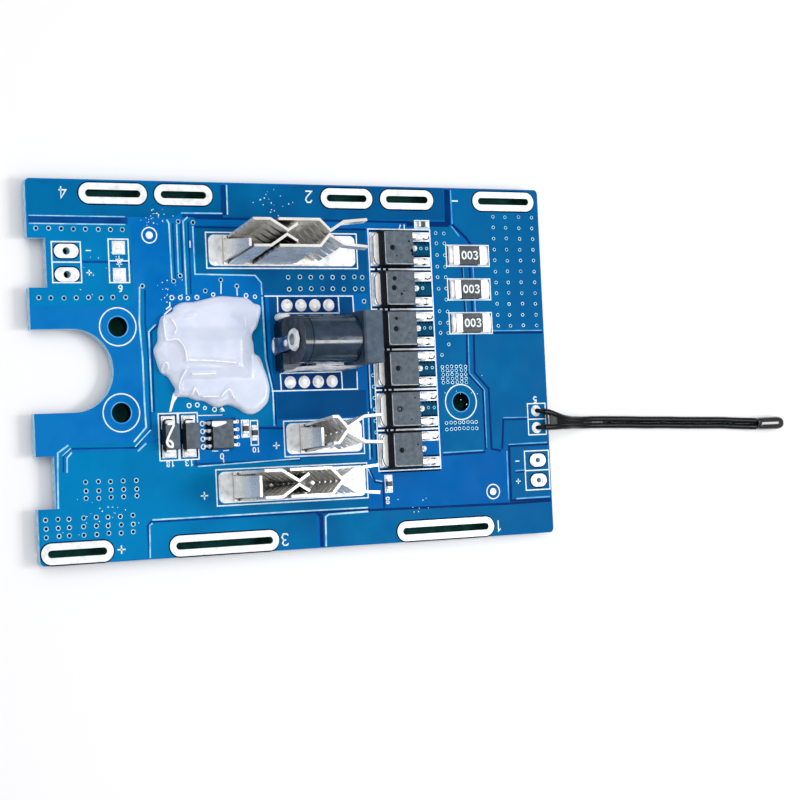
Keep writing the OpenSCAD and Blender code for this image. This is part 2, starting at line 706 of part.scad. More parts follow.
// Bent lead that leaves a body at x = 0, runs out along +X and stands on the board
module bent_lead(exit_h) {
    side_profile([
        [0, exit_h - chip_lead_t / 2], [0.25, exit_h - chip_lead_t / 2], [0.45, 0],
        [chip_lead_reach, 0], [chip_lead_reach, chip_lead_t], [0.6, chip_lead_t],
        [0.4, exit_h + chip_lead_t / 2], [0, exit_h + chip_lead_t / 2]
    ], chip_lead_w);
}

module charger_body() color("#1b1c1e") chip_body(CHARGER, 0.12);

module charger_leads() color("#c9cdd0")
    for (s = [0, 180]) for (i = [-1.5:1:1.5])
        translate([CHARGER[0], CHARGER[1], top_z]) rotate([0, 0, s])
            translate([CHARGER[2] / 2, i * chip_lead_pitch, 0]) bent_lead(CHARGER[4] / 2);

module controller_body() color("#1b1c1e") chip_body(CONTROLLER, 0.12);

module controller_leads() color("#c9cdd0")
    for (s = [90, 270]) for (i = [-3.5:1:3.5])
        translate([CONTROLLER[0], CONTROLLER[1], top_z]) rotate([0, 0, s])
            translate([CONTROLLER[3] / 2, i * chip_lead_pitch, 0]) bent_lead(CONTROLLER[4] / 2);

module diode_body(p) color("#1d1e20")
    chip_body([p[0], p[1], diode_w, diode_l, diode_h], 0.35);

// Flat terminals folded under both ends of a diode
module diode_terminals() color("#c9cdd0") for (p = DIODES) for (s = [0, 180])
    translate([p[0], p[1], land_z]) rotate([0, 0, s + 90]) side_profile([
        [diode_l / 2, 0.9], [diode_l / 2 + diode_reach, 0.9], [diode_l / 2 + diode_reach, 0],
        [diode_l / 2 + diode_reach - diode_foot_l, 0],
        [diode_l / 2 + diode_reach - diode_foot_l, 0.2], [diode_l / 2 + diode_reach - 0.2, 0.2],
        [diode_l / 2 + diode_reach - 0.2, 0.7], [diode_l / 2, 0.7]
    ], diode_foot_w);

// Places children at each chip resistor, along its own length
module at_chips() for (c = CHIPS)
    translate([c[0], c[1], land_z]) rotate([0, 0, c[2] == 1 ? 0 : 90]) children();

module chip_resistors() color("#232427")
    at_chips() block(0, 0, 0, chip_l - 2 * chip_cap_l, chip_w, chip_h);

module chip_resistor_caps() color("#cfd2d4")
    at_chips() for (s = [-1, 1])
        block(s * (chip_l - chip_cap_l) / 2, 0, 0, chip_cap_l, chip_w, chip_h);

// ---------------------------------------------------------------- coating

COAT_MIDDLE = [-17.5, 2.6];
COAT_OUTLINE = [
    [-23.9, 9.9], [-22, 10.8], [-18.6, 11.4], [-15.4, 11.8], [-11.6, 11.5], [-8.6, 10.2],
    [-8.4, 7.8], [-9.4, 5.4], [-9.4, 2.4], [-8.2, 0.4], [-7.6, -2.4], [-7.2, -4.4],
    [-8.6, -7.2], [-11.2, -8.1], [-13.8, -6.8], [-15.6, -6.2], [-18.2, -6.4], [-21.4, -5.4],
    [-24.4, -3.6], [-26.4, -1], [-27.4, 2], [-26.9, 5], [-26.4, 7.6], [-24.8, 8.9]
];
coat_rings = 8;

// Rounds a closed outline by cutting each corner at its quarters
function rounded(p) = [for (i = [0:len(p) - 1]) let (a = p[i], b = p[(i + 1) % len(p)])
    each [a * 0.75 + b * 0.25, a * 0.25 + b * 0.75]];

// Height of the coating at share u of the way in from its rim, in direction a
function coat_height(u, a) = coat_h * pow(sin(90 * u), 0.55)
    * (1 - 0.07 * u * (1 + sin(3 * a + 40)) * sin(180 * u));

module coat_mound() {
    rim = rounded(COAT_OUTLINE);
    n = len(rim);
    rings = [for (j = [0:coat_rings - 1]) let (u = j / coat_rings) each [for (q = rim)
        let (d = q - COAT_MIDDLE, a = atan2(d[1], d[0]))
        [COAT_MIDDLE[0] + d[0] * (1 - u), COAT_MIDDLE[1] + d[1] * (1 - u),
         top_z + (j == 0 ? 0 : coat_height(u, a))]]];
    points = concat(rings, [[COAT_MIDDLE[0], COAT_MIDDLE[1], top_z + coat_h]]);
    sides = [for (j = [0:coat_rings - 2]) for (i = [0:n - 1]) let (k = (i + 1) % n)
        each [[j * n + i, j * n + k, (j + 1) * n + k], [j * n + i, (j + 1) * n + k, (j + 1) * n + i]]];
    cap = [for (i = [0:n - 1]) [(coat_rings - 1) * n + i, (coat_rings - 1) * n + (i + 1) % n,
        coat_rings * n]];
    polyhedron(points, concat([[for (i = [0:n - 1]) i]], sides, cap));
}

module silicone_coating() color("#e9e9f3") difference() {
    coat_mound();
    block(CONTROLLER[0], CONTROLLER[1], top_z - past, CONTROLLER[2], CONTROLLER[3],
          CONTROLLER[4] + past);
    block(CONTROLLER[0], CONTROLLER[1], top_z - past, CONTROLLER[2],
          CONTROLLER[3] + 2 * chip_lead_reach, CONTROLLER[4] / 2 + chip_lead_t + past);
}

// ---------------------------------------------------------------- solder joints

// Solder through one plated hole: a barrel, a cone under the board, a fillet on top
module joint(p, hole_d, foot_d, top_d) {
    translate([p[0], p[1], 0]) {
        translate([0, 0, board_z]) cylinder(d = hole_d, h = board_t, $fn = 32);
        translate([0, 0, board_z - joint_h])
            cylinder(d1 = hole_d * 0.7, d2 = foot_d, h = joint_h, $fn = 32);
        if (top_d > 0) translate([0, 0, top_z]) {
            cylinder(d = top_d, h = land_t, $fn = 32);
            translate([0, 0, land_t]) cylinder(d1 = top_d, d2 = top_d * 0.5, h = fillet_h, $fn = 32);
        }
    }
}

module plug_joints() color("#d6dadb")
    for (p = PLUG_HOLES) joint(p, plug_hole_d, plug_land_d, plug_land_d);

module terminal_joints() color("#d6dadb") difference() {
    for (p = TERMINAL_LEGS) joint(p, leg_hole_d, leg_fillet_d, 0);
    for (p = TERMINAL_LEGS) block(p[0], p[1], 0, leg_w, blade_t, top_z + past);
}

module jack_joints() color("#d6dadb") difference() {
    for (p = JACK_LEGS) joint(p, jack_hole_d, jack_foot_d, 0);
    block(JACK_LEGS[0][0], JACK_LEGS[0][1], 0, jack_foot_t, jack_leg_w, top_z + past);
    block(JACK_LEGS[1][0], JACK_LEGS[1][1], 0, jack_leg_w, jack_foot_t, top_z + past);
}

module thermistor_joints() color("#d6dadb")
    for (y = THERMISTOR_Y) joint([thermistor_x, y], wire_hole_d, wire_fillet_d, wire_fillet_d);

// ---------------------------------------------------------------- thermistor

// The way that each lead takes: distance past the right edge, place across the board, and the
// share of the drop from the holes to the table that is left
WAY_1 = [
    [-1.6, -9.2, 1], [-0.5, -9.4, 1.01], [1, -9.9, 0.96], [2.5, -10.35, 0.83], [4, -10.6, 0.65],
    [5.5, -10.75, 0.44], [7, -10.8, 0.25], [8.5, -10.85, 0.1], [10.5, -10.85, 0.02],
    [13, -10.9, 0], [16, -11, 0], [19, -11.1, 0], [22, -11.25, 0], [25, -11.35, 0],
    [28, -11.45, 0], [31, -11.6, 0], [34, -11.7, 0], [37, -11.8, 0], [40, -11.9, 0],
    [43, -12.1, 0.03], [45.5, -12.25, 0.11], [47.4, -12.35, 0.18]
];
WAY_2 = [
    [-1.6, -12, 1], [-0.5, -12.05, 1.01], [1, -12.05, 0.96], [2.5, -12, 0.83], [4, -12, 0.65],
    [5.5, -11.95, 0.44], [7, -11.95, 0.25], [8.5, -12, 0.1], [10.5, -12, 0.02],
    [13, -12.05, 0], [16, -12.15, 0], [19, -12.25, 0], [22, -12.4, 0], [25, -12.5, 0],
    [28, -12.6, 0], [31, -12.75, 0], [34, -12.85, 0], [37, -12.95, 0], [40, -13.05, 0],
    [43, -13.25, 0.03], [45.5, -13.4, 0.11], [47.4, -13.5, 0.18]
];
lead_rest_z = lead_d / 2 + 0.05;
lead_exit_z = top_z + 1.3;
bead_gap = 0.1;
bead_x = right_edge + WAY_1[len(WAY_1) - 1][0] + bead_gap;
bead_y = (WAY_1[len(WAY_1) - 1][1] + WAY_2[len(WAY_2) - 1][1]) / 2;

function placed(way) = [for (p = way)
    [right_edge + p[0], p[1], lead_rest_z + p[2] * (lead_exit_z - lead_rest_z)]];
lead_sides = 8;

// Direction of the route at point i
function heading(p, i) = let (d = p[min(i + 1, len(p) - 1)] - p[max(i - 1, 0)]) d / norm(d);

// Ring of points round the route at point i
function ring(p, i, r) = let (t = heading(p, i), s = cross([0, 0, 1], t), v = s / norm(s),
    u = cross(t, v)) [for (k = [0:lead_sides - 1]) let (a = 360 * (k + 0.5) / lead_sides)
    p[i] + r * (cos(a) * v + sin(a) * u)];

module lead(route) color("#101113") {
    n = lead_sides;
    m = len(route);
    points = [for (i = [0:m - 1]) each ring(route, i, lead_d / 2)];
    sides = [for (i = [0:m - 2]) for (k = [0:n - 1]) let (j = (k + 1) % n)
        [i * n + k, (i + 1) * n + k, (i + 1) * n + j, i * n + j]];
    polyhedron(points, concat([[for (k = [0:n - 1]) k]], sides,
        [[for (k = [n - 1:-1:0]) (m - 1) * n + k]]));
}

module thermistor_lead_1() lead(placed(WAY_1));
module thermistor_lead_2() lead(placed(WAY_2));

// Drop of epoxy over the thermistor, turned about its own length
module thermistor_bead() color("#141416") {
    r = bead_d / 2;
    translate([bead_x, bead_y, r + 0.02]) rotate([0, 90, 0])
        rotate_extrude($fn = 32) polygon(concat(
            [[0, 0], [r * 0.92, 0]],
            [for (i = [0:8]) let (a = 10 * i) [r * cos(a), bead_l - r * 1.3 + r * 1.3 * sin(a)]],
            [[0, bead_l]]));
}

// ---------------------------------------------------------------- assembly

circuit_board();
slot_plating();
solder_lands();
legend_frames();
for (i = [1:fet_count]) {
    mosfet_body(FET_Y[i - 1]);
    mosfet_leads(FET_Y[i - 1]);
}
for (i = [1:shunt_count]) {
    shunt_element(SHUNT_Y[i - 1]);
    shunt_caps(SHUNT_Y[i - 1]);
}
jack_housing();
jack_centre_pin();
jack_rear_contact();
jack_side_spring();
negative_terminal();
charge_terminal();
positive_terminal();
controller_body();
controller_leads();
silicone_coating();
charger_body();
charger_leads();
diode_body(DIODES[0]);  // diode_1_body
diode_body(DIODES[1]);  // diode_2_body
diode_terminals();
chip_resistors();
chip_resistor_caps();
plug_joints();
terminal_joints();
jack_joints();
thermistor_joints();
thermistor_lead_1();
thermistor_lead_2();
thermistor_bead();
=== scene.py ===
"""Looks of a battery management board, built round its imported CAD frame.

Places and sizes are millimetres in the frame's own axes; they turn into metres when a mesh is made.
"""
import json
import math
import random

import bmesh
import bpy
from mathutils import Matrix, Vector
from mathutils.geometry import tessellate_polygon


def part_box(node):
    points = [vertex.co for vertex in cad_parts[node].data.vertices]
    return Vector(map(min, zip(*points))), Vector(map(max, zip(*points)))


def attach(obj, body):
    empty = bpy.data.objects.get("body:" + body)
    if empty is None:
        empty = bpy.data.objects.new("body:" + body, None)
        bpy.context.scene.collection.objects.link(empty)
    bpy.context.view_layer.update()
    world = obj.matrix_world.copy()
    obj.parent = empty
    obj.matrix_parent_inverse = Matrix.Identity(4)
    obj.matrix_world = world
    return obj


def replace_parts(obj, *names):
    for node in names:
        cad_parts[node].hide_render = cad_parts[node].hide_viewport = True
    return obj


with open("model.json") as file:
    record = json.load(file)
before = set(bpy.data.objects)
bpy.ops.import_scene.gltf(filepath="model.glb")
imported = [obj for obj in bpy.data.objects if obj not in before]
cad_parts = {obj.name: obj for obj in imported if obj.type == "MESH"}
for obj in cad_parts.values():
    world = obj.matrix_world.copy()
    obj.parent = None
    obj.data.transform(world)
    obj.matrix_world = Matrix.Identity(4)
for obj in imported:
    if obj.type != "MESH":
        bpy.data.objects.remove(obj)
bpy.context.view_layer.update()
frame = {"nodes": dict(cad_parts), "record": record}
MM = 0.001


def box_of(node):
    """Lowest and highest corner of a CAD node, in millimetres."""
    return tuple(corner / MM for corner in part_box(node))


def centre(low, high):
    return (low.x + high.x) / 2, (low.y + high.y) / 2


def path_of(text):
    """Points from text, with spaces between them; a number left out stays as it was."""
    points = []
    for point in text.split():
        points.append(tuple(float(number) if number else points[-1][i]
                            for i, number in enumerate(point.split(","))))
    return points


def paths_of(text):
    """Paths from text, with semicolons between them."""
    return [path_of(path) for path in text.split(";")]


def lines_of(text):
    """Pairs of a width and a path from text; each path starts with its width."""
    return [(width, path) for (width,), *path in paths_of(text)]


def moved(path, x, y):
    return [(x + a, y + b) for a, b in path]


board_low, board_high = box_of("circuit_board")
UNDER, TOP = board_low.z, board_high.z
LEFT, RIGHT, REAR = board_low.x, board_high.x, board_high.y
LAND = box_of("solder_lands")[1].z
TAB = LAND + 0.5  # upper face of the transistors' copper tabs

# How far things stand out of the board
SUNK = 0.01  # every relief starts this far inside it
POUR_T = 0.02  # copper under the mask
TRACE_T = POUR_T + 0.004  # copper lines
GAP_T, GAP_STEP = POUR_T + 0.006, 0.0003  # dark gaps; each stands a step above the last
FRAME_T = POUR_T + 0.008  # painted shade line round a slot or a shunt
SHADE_PATCH_T = POUR_T + 0.009
EDGE_T = POUR_T + 0.01  # painted shade line beside copper
LINE_T = 0.03  # painted highlight along a copper edge
INK_T = 0.05  # print
PATCH_W = 0.02  # thickness of marks and films on parts


# ---- camera and lights

CAMERA_AT = (-135.9, -17.0, TOP + 303)
CAMERA_TURNS = (-2.02, 26.87, 1.77)  # degrees about X, Y and Z
LENS, SENSOR = 87.93, 36
# Each lamp: name, place, point that it faces, size, power in watts
LAMPS = [
    ("key", (-190, 130, 360), (0, 0, 0), (260, 260), 0.46),
    ("strip", (275, -12, 330), (275, -12, 0), (220, 84), 0.72),
    ("glint", (158, -105, 330), (158, -105, 0), (42, 92), 0.19),
]
# The world's tone by height: place on its ramp, colour
SKY = [(0.0, (0.45, 0.45, 0.46, 1)), (0.75, (0.92, 0.92, 0.93, 1))]
SKY_STRENGTH = 0.75


def show(name, data):
    """New object in the scene."""
    thing = bpy.data.objects.new(name, data)
    bpy.context.scene.collection.objects.link(thing)
    return thing


def place_camera():
    """Camera at the photograph's angle, to the left of the board and above it."""
    camera = show("camera", bpy.data.cameras.new("camera"))
    camera.data.lens, camera.data.sensor_width, camera.data.clip_start = LENS, SENSOR, 0.01
    tilt, swing, roll = (Matrix.Rotation(math.radians(turn), 3, axis)
                         for turn, axis in zip(CAMERA_TURNS, "XYZ"))
    camera.matrix_world = (Matrix.Translation(Vector(CAMERA_AT) * MM)
                           @ (roll @ swing @ tilt).transposed().to_4x4())
    bpy.context.scene.camera = camera


def light_scene():
    for name, at, aim, size, power in LAMPS:
        light = bpy.data.lights.new(name, "AREA")
        light.shape = "RECTANGLE"
        light.size, light.size_y, light.energy = size[0] * MM, size[1] * MM, power
        lamp = show(name, light)
        lamp.location = Vector(at) * MM
        lamp.rotation_euler = (Vector(aim) - Vector(at)).to_track_quat("-Z", "Y").to_euler()
    world = bpy.data.worlds.new("studio")
    bpy.context.scene.world = world
    world.use_nodes = True
    tree = world.node_tree
    ramp = add_node(tree, "ValToRGB", {0: place_along(tree, "Z", "Generated")})
    for stop, (place, colour) in zip(ramp.color_ramp.elements, SKY):
        stop.position, stop.color = place, colour
    feed(tree, tree.nodes["Background"], {"Color": ramp.outputs[0], "Strength": SKY_STRENGTH})
    bpy.context.scene.view_settings.view_transform = "Standard"


# ---- shader nodes


def feed(tree, node, inputs):
    """Sets a node's inputs, each to a value or from the socket that feeds it."""
    for key, value in inputs.items():
        if isinstance(value, bpy.types.NodeSocket):
            tree.links.new(value, node.inputs[key])
        else:
            node.inputs[key].default_value = value


def add_node(tree, kind, inputs=None, **settings):
    node = tree.nodes.new("ShaderNode" + kind)
    for name, value in settings.items():
        setattr(node, name, value)
    feed(tree, node, inputs or {})
    return node


def source_of(node, key):
    """The socket that feeds a node's input."""
    return node.inputs[key].links[0].from_socket


def place_along(tree, axis, space="Object"):
    """Where a point lies along an axis, in metres in the piece's own coordinates."""
    coords = add_node(tree, "TexCoord").outputs[space]
    return add_node(tree, "SeparateXYZ", {0: coords}).outputs[axis]


def remap(tree, value, start, end, low=0.0, high=1.0):
    """Turns start to end into low to high, and holds it there."""
    return add_node(tree, "MapRange", {"Value": value, "From Min": start, "From Max": end,
                                       "To Min": low, "To Max": high}).outputs[0]


def override(tree, node, key, share, other, kind="RGBA"):
    """Puts another value in a node's linked input where share is 0."""
    blend = add_node(tree, "Mix", {"Factor": share, "A": other, "B": source_of(node, key)},
                     data_type=kind)
    feed(tree, node, {key: blend.outputs["Result"]})


def noise(tree, scale, stretch=(1, 1, 1)):
    """Noise in the piece's own coordinates; scale is cycles per metre."""
    coords = add_node(tree, "TexCoord").outputs["Object"]
    mapping = add_node(tree, "Mapping", {0: coords, "Scale": stretch}).outputs[0]
    return add_node(tree, "TexNoise", {"Vector": mapping, "Scale": scale,
                                       "Detail": NOISE_DETAIL}).outputs["Fac"]


def srgb(code):
    """Linear colour of a six-digit code."""
    parts = [int(code[i:i + 2], 16) / 255 for i in (0, 2, 4)]
    return [p / 12.92 if p < 0.04045 else ((p + 0.055) / 1.055) ** 2.4 for p in parts] + [1]


def ramp_of(tree, source, tones):
    """Colours, given as codes with spaces between, spread over the middle of a noise."""
    colours = [srgb(tone) for tone in tones.split()]
    ramp = add_node(tree, "ValToRGB", {0: source})
    low, high = TONE_SPAN
    stops = ramp.color_ramp.elements
    stops[0].position, stops[1].position = low, high
    stops[0].color, stops[1].color = colours[0], colours[-1]
    for i, colour in enumerate(colours[1:-1], 1):
        stops.new(low + (high - low) * i / (len(colours) - 1)).color = colour
    return ramp.outputs[0]


# ---- materials

FINISHES = {}
NOISE_DETAIL = 4.0
TONE_SPAN = (0.32, 0.68)  # part of a noise that the tones are spread over
ROUGH_SPAN = (0.3, 0.7)  # and the roughness
ROUGH_SCALE = 1.7  # of the roughness's noise against the tones'
COAT_ROUGHNESS = 0.15
BUMP_DEPTH = 0.05
MATTE_GRAIN = 900
MATTE_EDGE = 0.1  # width of the change to a matte part
# Share of a mask's tones that the place along the board takes up, as painted light that falls off
# from the left end to the right, and weight of its mottling
MASK_LIGHT_FALLOFF, MASK_MOTTLE = (0.08, 0.48), 0.45


def tree_of(material):
    tree = material.node_tree
    return tree, tree.nodes["Principled BSDF"]


def finish_of(name, tones, scale, rough, metal=0.0, specular=0.5, bump=None, coat=0.0,
              stretch=(1, 1, 1)):
    """Mottled material: tones by one noise, roughness and relief by others.

    bump is the relief's strength and the scale of its noise.
    """
    material = FINISHES[name] = bpy.data.materials.new(name)
    material.use_nodes = True
    tree, shader = tree_of(material)
    feed(tree, shader, {
        "Metallic": metal, "Specular IOR Level": specular, "Coat Weight": coat,
        "Coat Roughness": COAT_ROUGHNESS,
        "Base Color": ramp_of(tree, noise(tree, scale, stretch), tones),
        "Roughness": remap(tree, noise(tree, scale * ROUGH_SCALE), *ROUGH_SPAN, *rough),
    })
    if bump:
        relief = add_node(tree, "Bump", {"Strength": bump[0], "Distance": BUMP_DEPTH * MM,
                                         "Height": noise(tree, bump[1], stretch)})
        feed(tree, shader, {"Normal": relief.outputs[0]})
    return material


def two_faced(material, tones, scale, stretch=(1, 1, 1), low=0.4, high=0.6):
    """Gives the walls of a material's piece other colours than its level faces."""
    tree, shader = tree_of(material)
    normal = add_node(tree, "NewGeometry").outputs["Normal"]
    up = add_node(tree, "SeparateXYZ", {0: normal}).outputs["Z"]
    level = add_node(tree, "Math", {0: up}, operation="ABSOLUTE").outputs[0]
    override(tree, shader, "Base Color", remap(tree, level, low, high),
             ramp_of(tree, noise(tree, scale, stretch), tones))


def paint_crevice_shade(material, reach, tone, low, high):
    """Paints shade into a material's colour where its own piece and its neighbours close it in."""
    tree, shader = tree_of(material)
    open_share = add_node(tree, "AmbientOcclusion", {"Distance": reach * MM}).outputs["AO"]
    override(tree, shader, "Base Color", remap(tree, open_share, low, high), srgb(tone))


def matte_beyond(material, x, rough, tones, way=1):
    """Makes a material rougher, with other tones, past a place along X or before it."""
    tree, shader = tree_of(material)
    short_of = remap(tree, place_along(tree, "X"), x * MM, (x + way * MATTE_EDGE) * MM, 1, 0)
    override(tree, shader, "Roughness", short_of, rough, "FLOAT")
    override(tree, shader, "Base Color", short_of,
             ramp_of(tree, noise(tree, MATTE_GRAIN), tones))


def mask(name, tones, scale):
    """Solder mask with mottling, whose tone is painted lighter at the left end of the board and
    darker to the right, as light that falls off.
    """
    material = finish_of(name, tones, scale, (0.32, 0.5), specular=0.02, bump=(0.1, 900))
    tree, shader = tree_of(material)
    ramp = source_of(shader, "Base Color").node
    # Painted light: the mask's tone falls off from the left end of the board to the right
    light_falloff = remap(tree, place_along(tree, "X"), LEFT * MM, RIGHT * MM, *MASK_LIGHT_FALLOFF)
    tone = add_node(tree, "Math", {0: source_of(ramp, 0), 1: MASK_MOTTLE, 2: light_falloff},
                    operation="MULTIPLY_ADD")
    feed(tree, ramp, {0: tone.outputs[0]})
    return material


BARE = mask("mask_on_laminate", "0c73bb 0069b4 005fa8 005aa2", 160)
two_faced(BARE, "6aa6cc 9fc9de cfe5ee", 900, stretch=(1, 1, 6))
COPPER = mask("mask_on_copper", "007bb6 0072aa 00649b 005a92", 130)
DEEP = mask("mask_on_thick_copper", "006aa2 005f96 00528a 004c82", 150)
# Painted shade: the mask darker beside and under the jack
JACK_SHADE_MASK = mask("mask_in_jack_shade", "00599a 004f8a 004880 00447a", 150)
SHADE = mask("mask_in_gap", "0a4c90 023c7a 01306b 012a60", 200)
# Near black: painted shade round the slots, the shunts, the diodes and the charger chip's leads and
# beside the printed dividers; also the teeth, edge and breaks by the transistors' lands
OUTLINE = mask("mask_at_edge", "021f45 011a3c 011534 01102b", 300)
TEAL = mask("mask_between_lands", "02627c 014e6c 014a68 013a58", 900)
# Painted highlight: pale lines along the copper edges that face the light; the same finish colours
# the rings of the vias between the transistors' lands
HIGHLIGHT_AND_VIA_RING = finish_of("mask_highlight_and_via_ring", "5fb0dc 93cfec bfe6f5", 500, (0.25, 0.4), specular=0.3)
# Fainter painted highlight, right of SOFT_FROM and round the screw holes
SOFT_HIGHLIGHT = finish_of("mask_soft_highlight", "1f86c6 3d9fd6 64b6e2", 400, (0.3, 0.45), specular=0.2)
TIN = finish_of("tinned_copper", "c3c9cd e6eaec f6f8f8", 700, (0.35, 0.55), metal=0.25,
                bump=(0.35, 1800))
SOLDER = finish_of("solder", "d3d6d8 f4f5f6 ffffff", 900, (0.25, 0.42), metal=0.1,
                   bump=(0.3, 1200))
PLUG = finish_of("plug_solder", "c3c6ca f2f4f5 fdfdfd", 1100, (0.35, 0.5), bump=(0.25, 1500))
WALL_TIN_SHADED = finish_of("slot_wall_tin", "d6dadd eceff0 f4f6f6", 700, (0.35, 0.55), metal=0.15,
                     bump=(0.35, 1800))
# Painted shade: the slots' walls are dark green, the shade inside the slots
two_faced(WALL_TIN_SHADED, "0a2420 123a34 2a5a50", 500, low=0.6, high=0.9)
# Near black: painted shade in the screw holes, in the jack's groove and on the solder; and the real
# marks on the transistors' bodies
BLACK_SHADE_AND_MARKS = finish_of("black_shade_and_marks", "040607 0a0e10 161b1e", 1500, (0.5, 0.7), specular=0.1)
INK = finish_of("legend_ink", "cfe3ec e9f3f7 f6fbfd", 1500, (0.5, 0.7))
EPOXY = finish_of("moulded_epoxy", "48525b 545f69 606a74", 1100, (0.5, 0.65), specular=0.25,
                  bump=(0.3, 5000))
# Walls near black and level tops painted mid-grey: partly the tops' matte finish, partly painted
# sheen
two_faced(EPOXY, "070a0c 0e1316 171d21", 900, low=0.55, high=0.95)
# Painted light: a white sheet on each transistor's tab, which lies in shade
TAB_LIGHT = finish_of("tab_painted_light", "eceeef fafbfb ffffff", 900, (0.2, 0.35), bump=(0.2, 2700))
EAR = finish_of("jack_ear", "4e524c 86887f b4b5ae", 900, (0.25, 0.4), metal=0.2, bump=(0.3, 2700))
# Painted highlight along the bevel at the left and front of each transistor's top
BEVEL_HIGHLIGHT = finish_of("painted_bevel_highlight", "8b949b a3abb1 b9c0c5", 1500, (0.4, 0.55), specular=0.3)
LEAD_TIN = finish_of("tinned_leads", "c0c4c7 e1e4e6 f4f5f5", 1200, (0.28, 0.45), metal=0.4,
                     bump=(0.2, 3600))
finish_of("shunt_coat", "24282b 343a3f 474e53", 700, (0.45, 0.6), bump=(0.3, 2100),
          stretch=(0.3, 2.5, 1))
JACK = finish_of("jack_plastic", "0e2233 152c40 21394d", 500, (0.08, 0.2), bump=(0.1, 2500))
matte_beyond(JACK, box_of("jack_housing")[1].x - 3.65, 0.62, "2c3f52 394c5e 46586a")
matte_beyond(JACK, box_of("jack_housing")[0].x + 0.15, 0.62, "2a323f 353e4c 434c5a", way=-1)
JACK_FOOT = finish_of("jack_foot", "33424f 3d4c5a 485866", 700, (0.2, 0.35), specular=0.4,
                      bump=(0.12, 3000))
# Painted shade: the foot's walls near black, its level faces lighter
two_faced(JACK_FOOT, "05090d 0a1118 121c26", 900, low=0.4, high=0.8)
SPRING = finish_of("jack_spring", "18222e 6c7f92 f4f6f8 ffffff", 420, (0.2, 0.35), metal=0.1,
                   bump=(0.3, 500), stretch=(0.35, 1, 1))
# White for the residue, the jack's ring and rivet, and the painted highlights on the coating's
# ridges
WHITE_AND_HIGHLIGHT = finish_of("white_finish_and_highlight", "e3e9ee f6f9fb ffffff", 900, (0.3, 0.5), bump=(0.2, 2700))
STEEL = finish_of("jack_contact", "c9ced3 e8ebed f7f8f8", 600, (0.2, 0.35), metal=0.3,
                  bump=(0.2, 1800))
# Painted reflection: the contact's walls take the blue of the board
two_faced(STEEL, "2f4f78 46678f 7c98b8", 700, low=0.3, high=0.6)
SHEET = finish_of("nickel_sheet", "e2dfd7 f1efe9 fcfbf8", 240, (0.22, 0.36), metal=0.5,
                  bump=(0.15, 600))
# Painted shade in the gaps between the terminals' fingers
paint_crevice_shade(SHEET, 2.5, "10161a", 0.4, 0.7)
SILICONE = finish_of("silicone", "c2cbe1 ccd4e8 d7def0", 180, (0.25, 0.4), specular=0.5,
                     bump=(0.15, 350), coat=0.2)
# Painted highlight: the slopes, rim and ridges of the coating are whiter than its level faces
two_faced(SILICONE, "e4eafb edf1fd f6f8ff", 300, low=0.6, high=0.94)
finish_of("chip_coat", "1d2124 2b3034 3c4347", 1500, (0.4, 0.6), bump=(0.3, 4500))
RUBBER = finish_of("lead_insulation", "010304 03080a 071216", 400, (0.2, 0.34), specular=0.2,
                   bump=(0.1, 500))
BEAD = finish_of("bead_epoxy", "010202 030505 070a0b", 500, (0.04, 0.1), coat=0.4)
VIA = finish_of("via_ring", "74b8da a9d6e9 d2e9f1", 900, (0.3, 0.5), metal=0.1)
# Painted shade: a dark disc stands in for the inside of each via's hole
HOLE_SHADE = finish_of("via_hole_shade", "010c18 02162a", 800, (0.5, 0.7), specular=0.1)
FINISHES["laminate"] = BARE
NODE_FINISHES = {
    "slot_plating": WALL_TIN_SHADED, "plug_joints": PLUG, "thermistor_joints": PLUG,
    "jack_centre_pin": LEAD_TIN, "jack_side_spring": SPRING,
}


def dress_frame():
    """Gives every CAD node the finish named after its slot in the record, or its own."""
    for part in frame["record"]["subparts"]:
        materials = frame["nodes"][part["node"]].data.materials
        finish = NODE_FINISHES.get(part["node"], FINISHES[part["material_slot"]])
        for i in range(len(materials)):
            materials[i] = finish


# ---- outlines

MITRE_LIMIT = 0.35  # keeps a sharp corner's mitre short


def circle(x, y, r, n):
    return [(x + r * math.cos(2 * math.pi * i / n), y + r * math.sin(2 * math.pi * i / n))
            for i in range(n)]


def stadium(low, high, inset, n=10):
    """Outline with round ends in a box, set in from it."""
    x0, x1, y0, y1 = low.x + inset, high.x - inset, low.y + inset, high.y - inset
    r = (y1 - y0) / 2
    turns = [math.pi * i / n for i in range(n + 1)]
    return ([(x1 - r + r * math.sin(a), y0 + r - r * math.cos(a)) for a in turns]
            + [(x0 + r - r * math.sin(a), y0 + r + r * math.cos(a)) for a in turns])


def within(point, outline):
    """Whether a point lies inside an outline."""
    x, y = point
    inside = False
    for (x0, y0), (x1, y1) in zip(outline, outline[1:] + outline[:1]):
        if (y0 > y) != (y1 > y) and x < x0 + (y - y0) * (x1 - x0) / (y1 - y0):
            inside = not inside
    return inside


def band(a, b, n):
    """Faces between two rings of n points, which start at a and at b."""
    return [[a + i, a + (i + 1) % n, b + (i + 1) % n, b + i] for i in range(n)]


def to_left(a, b):
    d = (b - a).normalized()
    return Vector((-d.y, d.x))


def edges_of(path, width, closed=False):
    """Left and right edge of a flat strip along a path, with its corners mitred."""
    points = [Vector(p) for p in path]
    after = [to_left(a, b) for a, b in zip(points, points[1:] + points[:1])]
    if not closed:
        after[-1] = after[-2]
    before = [after[-1 if closed else 0]] + after[:-1]
    shifts = [(a + b) / max(1 + a.dot(b), MITRE_LIMIT) * width / 2 for a, b in zip(before, after)]
    return [p + s for p, s in zip(points, shifts)], [p - s for p, s in zip(points, shifts)]


